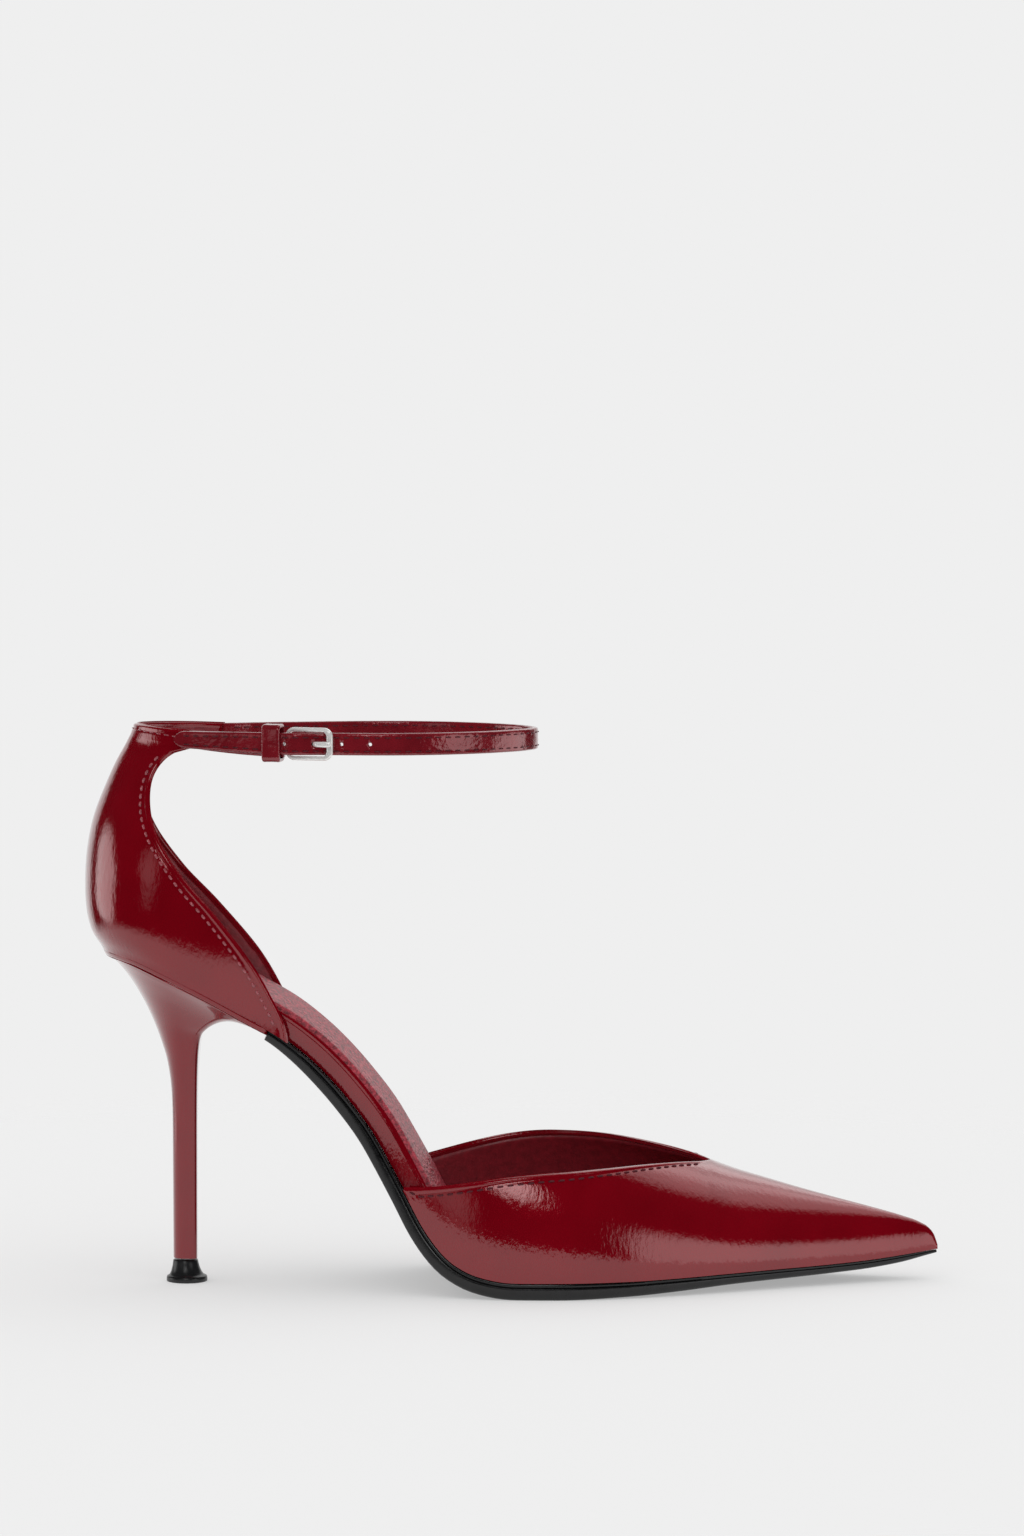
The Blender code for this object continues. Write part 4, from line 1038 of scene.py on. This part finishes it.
def cut_holes(strap):
    up = Vector((0, 0, 1))
    cutters = []
    for run in hole_runs():
        inner, outer = (Vector((*ring_point(run, strap_offset(run) + side), STRAP_CENTRE_HEIGHT))
                        for side in (-STRAP_THICKNESS, STRAP_THICKNESS))
        toward = (outer - inner).normalized()
        across = toward.cross(up)
        loops = []
        for end in (-1.2, 1.2):
            middle = (inner + outer) / 2 + toward * end * STRAP_THICKNESS
            loops.append([tuple(middle + HOLE_RADIUS * (across * c + up * s))
                          for c, s in circle(20)])
        cutters.append(add_mesh("hole_cutter", *loft(loops), strap.data.materials[0]))
    for cutter in cutters:
        cut = strap.modifiers.new("hole", "BOOLEAN")
        cut.operation = "DIFFERENCE"
        cut.solver = "EXACT"
        cut.object = cutter
    graph = bpy.context.evaluated_depsgraph_get()
    mesh = bpy.data.meshes.new_from_object(strap.evaluated_get(graph))
    strap.modifiers.clear()
    strap.data = mesh
    for cutter in cutters:
        bpy.data.objects.remove(cutter, do_unlink=True)


def face_path(start, end, offset, height):
    """Points and outward normals along one face of the strap's ring."""
    path, normals = [], []
    for run in np.linspace(start, end, max(8, int((end - start) / 0.0012))):
        side = offset(run)
        path.append((*ring_point(run, side), height(run)))
        step = np.subtract(ring_point(run, side + SLOPE_STEP), ring_point(run, side - SLOPE_STEP))
        normals.append(unit(np.array((*step, 0.0))))
    return np.array(path), np.array(normals)


def sew_strap(thread, tip, root):
    half = STRAP_THICKNESS / 2
    rows = (("low", lambda run: strap_edges(run)[0] + LOW_SEAM_INSET),
            ("high", lambda run: strap_edges(run)[1] - HIGH_SEAM_INSET))
    for name, height in rows:
        for face, sign, start in (("outer", 1, tip + 0.003), ("inner", -1, HINGE_RUN + 0.016)):
            path, normals = face_path(start, root - 0.001,
                                      lambda run: strap_offset(run) + sign * half, height)
            stitch_row(f"strap_stitches_{face}_{name}", path, normals * sign, thread,
                       radius=FINE_STITCH)


def make_buckle_strap(material):
    high = STRAP_CENTRE_HEIGHT + STRAP_WIDTH / 2
    low = STRAP_CENTRE_HEIGHT - STRAP_WIDTH / 2
    start, end = lateral_run(LATERAL_WING - 0.0003), HINGE_RUN - BUCKLE_WIRE / 2 - GAP
    loops = []
    for share in np.linspace(0, 1, 40):
        swing = math.sin(math.pi / 2 * share)
        fall = WING_EDGE_RISE - swing * (WING_EDGE_RISE + BUCKLE_STRAP_DROP)
        top = high - 0.3 * swing * BUCKLE_STRAP_DROP
        loops.append(strap_loop(start + share * (end - start), 0.0, low + fall, top))
    add_piece("short_strap", loft(loops), material, ("buckle_strap",), 60)


def make_keeper(material):
    first = lateral_run(KEEPER_PLACE) - KEEPER_WIDTH / 2
    low = STRAP_CENTRE_HEIGHT - STRAP_WIDTH / 2 - BUCKLE_STRAP_DROP - GAP
    high = STRAP_CENTRE_HEIGHT + STRAP_WIDTH / 2 + KEEPER_SLACK
    near = -STRAP_THICKNESS / 2 - GAP
    far = OUTER_LAYER + STRAP_THICKNESS / 2 + GAP
    inward = KEEPER_CORNER
    corners = ((near + inward, low + inward, 180), (far - inward, low + inward, 270),
               (far - inward, high - inward, 0), (near + inward, high - inward, 90))

    def ring(run, grow):
        radius = KEEPER_CORNER + grow
        return [(*ring_point(run, offset + radius * c), height + radius * s)
                for offset, height, start in corners for c, s in arc(5, start)]

    loops = [ring(first + KEEPER_WIDTH * along, grow * KEEPER_WALL) for along, grow in KEEPER_EDGE]
    loops += [ring(first + KEEPER_WIDTH * along, 0.0) for along in (0.99, 0.7, 0.3, 0.01)]
    add_piece("keeper_loop", loft(loops, closed=True), material, ("keeper",), 50)


# Buckle

def buckle_place(along, offset):
    return Vector((*ring_point(HINGE_RUN + along, offset), STRAP_CENTRE_HEIGHT))


HINGE_POINT = buckle_place(0.0, 0.0)
FRONT_POINT = buckle_place(BUCKLE_LENGTH, FRONT_BAR_OFFSET)
BUCKLE_ALONG = (FRONT_POINT - HINGE_POINT).normalized()
BUCKLE_FACE = Vector((0, 0, 1)).cross(BUCKLE_ALONG)


def make_buckle_frame(metal):
    """Cast frame with round corners and a broader front bar."""
    length = (FRONT_POINT - HINGE_POINT).length
    half = STRAP_WIDTH / 2 + GAP + BUCKLE_WIRE / 2
    square = []
    for c, s in circle(16):
        size = (abs(c) ** WIRE_POWER + abs(s) ** WIRE_POWER) ** (1 / WIRE_POWER)
        square.append((c / size, s / size))
    loops = []
    for end, height, start in ((length, half, 0), (0, half, 90), (0, -half, 180),
                               (length, -half, 270)):
        centre_along = end - BUCKLE_CORNER if end else BUCKLE_CORNER
        centre_height = height - math.copysign(BUCKLE_CORNER, height)
        for c, s in arc(12, start):
            along = centre_along + BUCKLE_CORNER * c
            out = BUCKLE_ALONG * c + Vector((0, 0, s))
            front = smooth_step(along, length - 1.2 * BUCKLE_CORNER, length)
            wide = BUCKLE_WIRE / 2 * (1 + BAR_SPREAD * front)
            middle = HINGE_POINT + BUCKLE_ALONG * along
            middle += Vector((0, 0, centre_height + BUCKLE_CORNER * s))
            middle -= out * BAR_SPREAD * front * BUCKLE_WIRE / 2
            loops.append([tuple(middle + out * wide * a + BUCKLE_FACE * BUCKLE_WIRE / 2 * b)
                          for a, b in square])
    add_piece("frame_of_buckle", loft(loops, closed=True), metal, ("buckle_frame",), 60)


def make_buckle_prong(metal):
    start = BUCKLE_WIRE / 2 + GAP + PRONG_THICKNESS / 2
    rest = FRONT_BAR_OFFSET + BUCKLE_WIRE / 2 + GAP + PRONG_THICKNESS / 2
    under = -0.40 * STRAP_THICKNESS
    route = Table(("share", "along", "offset", "wide"), (
        (0.00, start, 0.0, 0.80),
        (0.18, 0.30 * BUCKLE_LENGTH, 0.4 * under, 0.85),
        (0.38, 0.50 * BUCKLE_LENGTH, under, 0.90),
        (0.46, 0.555 * BUCKLE_LENGTH, 0.4 * under, 0.92),
        (0.60, 0.68 * BUCKLE_LENGTH, 0.78 * rest, 0.98),
        (0.70, 0.76 * BUCKLE_LENGTH, 0.95 * rest, 1.00),
        (0.95, BUCKLE_LENGTH, rest, 1.00),
        (1.00, BUCKLE_LENGTH + 0.45 * BUCKLE_WIRE, 0.97 * rest, 0.85),
    ))
    stations = [route.at(share) for share in np.linspace(0, 1, 46)]
    places = [buckle_place(row.along, row.offset) for row in stations]
    up = Vector((0, 0, 1))
    loops = []
    for i, (row, place) in enumerate(zip(stations, places)):
        thick = (places[min(i + 1, 45)] - places[max(i - 1, 0)]).normalized().cross(up)
        end = math.sqrt(max(1 - max(0.0, (i - 42) / 3.2) ** 2, 0.05))
        loops.append([tuple(place + up * PRONG_WIDTH / 2 * row.wide * end * c
                            + thick * PRONG_THICKNESS / 2 * end * s) for c, s in circle(14)])
    add_piece("prong_of_buckle", loft(loops), metal, ("buckle_prong",), 60)


# Materials

def principled(name, colour, roughness, **sockets):
    material = bpy.data.materials.new(name)
    material.use_nodes = True
    shader = material.node_tree.nodes["Principled BSDF"]
    shader.inputs["Base Color"].default_value = (*colour, 1)
    shader.inputs["Roughness"].default_value = roughness
    for socket, value in sockets.items():
        shader.inputs[socket.replace("_", " ")].default_value = value
    return material, shader


def node(tree, kind, sockets, **settings):
    """A new node whose sockets are given a number, or what another node puts out."""
    made = tree.nodes.new(kind)
    for name, value in settings.items():
        setattr(made, name, value)
    for key, value in sockets.items():
        if isinstance(value, bpy.types.NodeSocket):
            tree.links.new(value, made.inputs[key])
        else:
            made.inputs[key].default_value = value
    return made


def noise_field(tree, scale, detail, stretch):
    """Noise in the object's own coordinates, drawn out where stretch is under 1."""
    place = tree.nodes.new("ShaderNodeTexCoord").outputs["Object"]
    shape = node(tree, "ShaderNodeMapping", {"Vector": place, "Scale": stretch})
    noise = node(tree, "ShaderNodeTexNoise", {"Vector": shape.outputs["Vector"], "Scale": scale,
                                              "Detail": detail, "Roughness": 0.55})
    return noise.outputs["Fac"]


def grain(tree, shader, coated, scale, depth, detail=3.0, stretch=(1, 1, 1)):
    """Fine irregular relief; depth is the noise's whole height in metres."""
    field = noise_field(tree, scale, detail, stretch)
    bump = node(tree, "ShaderNodeBump", {"Height": field, "Strength": 1.0, "Distance": depth})
    for socket in ("Normal", "Coat Normal") if coated else ("Normal",):
        tree.links.new(bump.outputs["Normal"], shader.inputs[socket])


def mottle(tree, shader, scale, spread, socket="Base Color", stretch=(1, 1, 1)):
    """Lets a colour or a number wander by its spread, up and down, in soft patches."""
    value = shader.inputs[socket].default_value
    reach = node(tree, "ShaderNodeMapRange", {"Value": noise_field(tree, scale, 2.0, stretch),
                                              "From Min": 0.3, "From Max": 0.7})
    made = reach.outputs["Result"]
    if socket == "Base Color":
        mix = node(tree, "ShaderNodeMix", {"Factor": made}, data_type="RGBA")
        for name, share in (("A", 1 - spread), ("B", 1 + spread)):
            end = next(i for i in mix.inputs if i.name == name and i.type == "RGBA")
            end.default_value = (*(c * share for c in value[:3]), 1)
        made = next(o for o in mix.outputs if o.type == "RGBA")
    else:
        reach.inputs["To Min"].default_value = value * (1 - spread)
        reach.inputs["To Max"].default_value = value * (1 + spread)
    tree.links.new(made, shader.inputs[socket])


def look(name, colour, roughness, relief, *mottles, coated=False, **sockets):
    """A material with its grain and its soft patches."""
    material, shader = principled(name, colour, roughness, **sockets)
    grain(material.node_tree, shader, coated, *relief)
    for patches in mottles:
        mottle(material.node_tree, shader, *patches)
    return material


PATENT_RED = (0.165, 0.0008, 0.0052)
PATENT_GLOSS = {
    "Coat_Weight": 1.0, "Coat_IOR": 1.64, "Specular_IOR_Level": 0.62,
    "Specular_Tint": (1.0, 0.05, 0.07, 1.0), "coated": True,
}
WRINKLE = (1.0, 1.0, 0.45)
PEBBLE = (1.0, 0.30, 1.0)
# Stretch of the sock's colour speckle: partly its own mottled tone, partly painted light and shade
# of its pebbled grain.
GRAIN_SHADE_SPECKLE = (1.0, 0.35, 1.0)


def make_materials():
    return SimpleNamespace(
        patent=look("patent", PATENT_RED, 0.16, (850.0, 0.00007, 3.0, WRINKLE), (60.0, 0.10),
                    Coat_Roughness=0.05, **PATENT_GLOSS),
        # The strap's base is pinker than the other patent: a painted reflection, under a rougher
        # coat. The short strap and the keeper share it.
        strap=look("strap_patent_painted_reflection", (0.165, 0.008, 0.014), 0.20, (480.0, 0.00017), (120.0, 0.15),
                   Coat_Roughness=0.08, **PATENT_GLOSS),
        cover=look("heel_patent", PATENT_RED, 0.16, (500.0, 0.000006), (50.0, 0.08),
                   Coat_Roughness=0.05, **PATENT_GLOSS),
        # Lighter pink copy of the dark thread: its colour is a painted highlight, used for the
        # counter's stitches.
        thread=look("thread", (0.300, 0.055, 0.070), 0.30, (4000.0, 0.00001), (900.0, 0.25),
                    Coat_Weight=0.8, Coat_Roughness=0.15),
        dark_thread=look("dark_thread", (0.080, 0.004, 0.010), 0.50, (4000.0, 0.00001),
                         (900.0, 0.25), Specular_IOR_Level=0.3),
        lining=look("red_lining", (0.200, 0.010, 0.018), 0.42, (1300.0, 0.00010), (500.0, 0.20),
                    Coat_Weight=0.30, Coat_Roughness=0.25),
        # The sock's strong colour speckle is partly its own tone and partly painted light and
        # shade of its pebbled grain.
        sock=look("red_sock", (0.300, 0.026, 0.042), 0.48, (900.0, 0.0009, 2.0, PEBBLE),
                  (900.0, 0.65, "Base Color", GRAIN_SHADE_SPECKLE), Specular_IOR_Level=0.5),
        black=look("black_edge", (0.005, 0.005, 0.0055), 0.24, (900.0, 0.00003), (400.0, 0.35),
                   (150.0, 0.25, "Roughness")),
        tip=look("black_tip", (0.008, 0.008, 0.009), 0.30, (1500.0, 0.00002), (600.0, 0.30)),
        metal=look("polished_metal", (0.90, 0.89, 0.87), 0.24, (900.0, 0.00001),
                   (500.0, 0.20, "Roughness"), Metallic=0.4),
    )


# Floor, world and camera

FLOOR_WHITE = 0.466
FLOOR_GLOW = 0.36
FLOOR_MIDDLE = 0.06
FLOOR_FADE = (0.30, 0.46)
BACKDROP = 0.863
DOME_LOW, DOME_HIGH = 0.68, 1.28

# Soft boxes by where they stand: degrees from the front round to the heel's side, degrees up,
# half angles of the even middle and of the faded edge, and brightness
SOFT_BOXES = (
    (-118, 62, 13, 26, 0.95),
    (-142, 42, 10, 26, 0.75),
    (0, 80, 4, 12, 0.8),
    (180, 6, 42, 50, 0.85),
    (101, 0, 13, 22, 1.8),
    (5, 27, 4, 13, 3.2),
    (36, 8, 3, 14, 0.45),
    (-50, 3, 10, 18, 1.4),
    (-95, -14, 15, 24, 1.5),
)


def make_stage():
    bpy.ops.mesh.primitive_plane_add(size=60.0, location=(FLOOR_MIDDLE, 0, 0))
    floor = bpy.context.object
    floor.name = "floor"
    material, shader = principled("floor", (FLOOR_WHITE,) * 3, 0.9, Specular_IOR_Level=0.0,
                                  Emission_Color=(1, 1, 1, 1), Emission_Strength=FLOOR_GLOW)
    tree = material.node_tree
    place = tree.nodes.new("ShaderNodeTexCoord").outputs["Object"]
    away = node(tree, "ShaderNodeVectorMath", {0: place}, operation="LENGTH").outputs["Value"]
    fade = node(tree, "ShaderNodeMapRange", {
        "Value": away, "From Min": FLOOR_FADE[0], "From Max": FLOOR_FADE[1],
    }, interpolation_type="SMOOTHSTEP")
    clear = tree.nodes.new("ShaderNodeBsdfTransparent")
    mix = node(tree, "ShaderNodeMixShader", {
        0: fade.outputs["Result"], 1: shader.outputs["BSDF"], 2: clear.outputs["BSDF"],
    })
    tree.links.new(mix.outputs["Shader"], tree.nodes["Material Output"].inputs["Surface"])
    floor.data.materials.append(material)


def soft_box(tree, directions, azimuth, elevation, middle, edge, brightness):
    """Brightness of one soft round box, by the direction it is looked for in."""
    turn, up = math.radians(azimuth), math.radians(elevation)
    toward = (-math.sin(turn) * math.cos(up), -math.cos(turn) * math.cos(up), math.sin(up))
    facing = node(tree, "ShaderNodeVectorMath", {0: directions, 1: toward},
                  operation="DOT_PRODUCT")
    fade = node(tree, "ShaderNodeMapRange", {
        "Value": facing.outputs["Value"], "From Min": math.cos(math.radians(edge)),
        "From Max": math.cos(math.radians(middle)), "To Max": brightness,
    }, interpolation_type="SMOOTHSTEP")
    return fade.outputs["Result"]


def make_world():
    """An even dome that lights, soft boxes that gloss shows, and a plain backdrop behind."""
    world = bpy.data.worlds.new("studio")
    bpy.context.scene.world = world
    world.use_nodes = True
    tree = world.node_tree
    tree.nodes.clear()
    directions = tree.nodes.new("ShaderNodeTexCoord").outputs["Generated"]
    total = 0.0
    for box in SOFT_BOXES:
        both = {0: total, 1: soft_box(tree, directions, *box)}
        total = node(tree, "ShaderNodeMath", both, operation="ADD").outputs["Value"]
    height = node(tree, "ShaderNodeSeparateXYZ", {"Vector": directions}).outputs["Z"]
    dome = node(tree, "ShaderNodeMapRange",
                {"Value": height, "To Min": DOME_LOW, "To Max": DOME_HIGH}).outputs["Result"]
    boxes, even, backdrop = (
        node(tree, "ShaderNodeBackground", {"Color": (1, 1, 1, 1), "Strength": strength})
        .outputs["Background"] for strength in (total, dome, BACKDROP)
    )
    path = tree.nodes.new("ShaderNodeLightPath").outputs
    gloss = node(tree, "ShaderNodeMixShader", {0: path["Is Glossy Ray"], 1: even, 2: boxes})
    seen = node(tree, "ShaderNodeMixShader", {
        0: path["Is Camera Ray"], 1: gloss.outputs["Shader"], 2: backdrop,
    })
    node(tree, "ShaderNodeOutputWorld", {"Surface": seen.outputs["Shader"]})


CAMERA_PLACE = (0.09315, -1.700, 0.2643)
CAMERA_AIM = (0.09315, 0.0, 0.1473)
CAMERA_LENS = 140.13


def make_camera():
    data = bpy.data.cameras.new("camera")
    data.lens = CAMERA_LENS
    data.sensor_width = 36.0
    camera = bpy.data.objects.new("camera", data)
    bpy.context.scene.collection.objects.link(camera)
    camera.location = CAMERA_PLACE
    toward = Vector(CAMERA_AIM) - Vector(CAMERA_PLACE)
    camera.rotation_euler = toward.to_track_quat("-Z", "Y").to_euler()
    bpy.context.scene.camera = camera


def main():
    bpy.context.scene.view_settings.view_transform = "Standard"
    looks = make_materials()
    # The counter's stitches take the lighter thread, whose pink is a painted highlight.
    make_counter(looks.patent, looks.lining, looks.thread)
    make_vamp(looks.patent, looks.lining, looks.dark_thread)
    make_outsole(looks.black)
    make_insole(looks.patent)
    make_sock(looks.sock)
    make_heel(looks.cover)
    make_heel_tip(looks.tip)
    make_ankle_strap(looks.strap, looks.dark_thread)
    make_buckle_strap(looks.strap)
    make_keeper(looks.strap)
    make_buckle_frame(looks.metal)
    make_buckle_prong(looks.metal)
    make_stage()
    make_world()
    make_camera()


main()
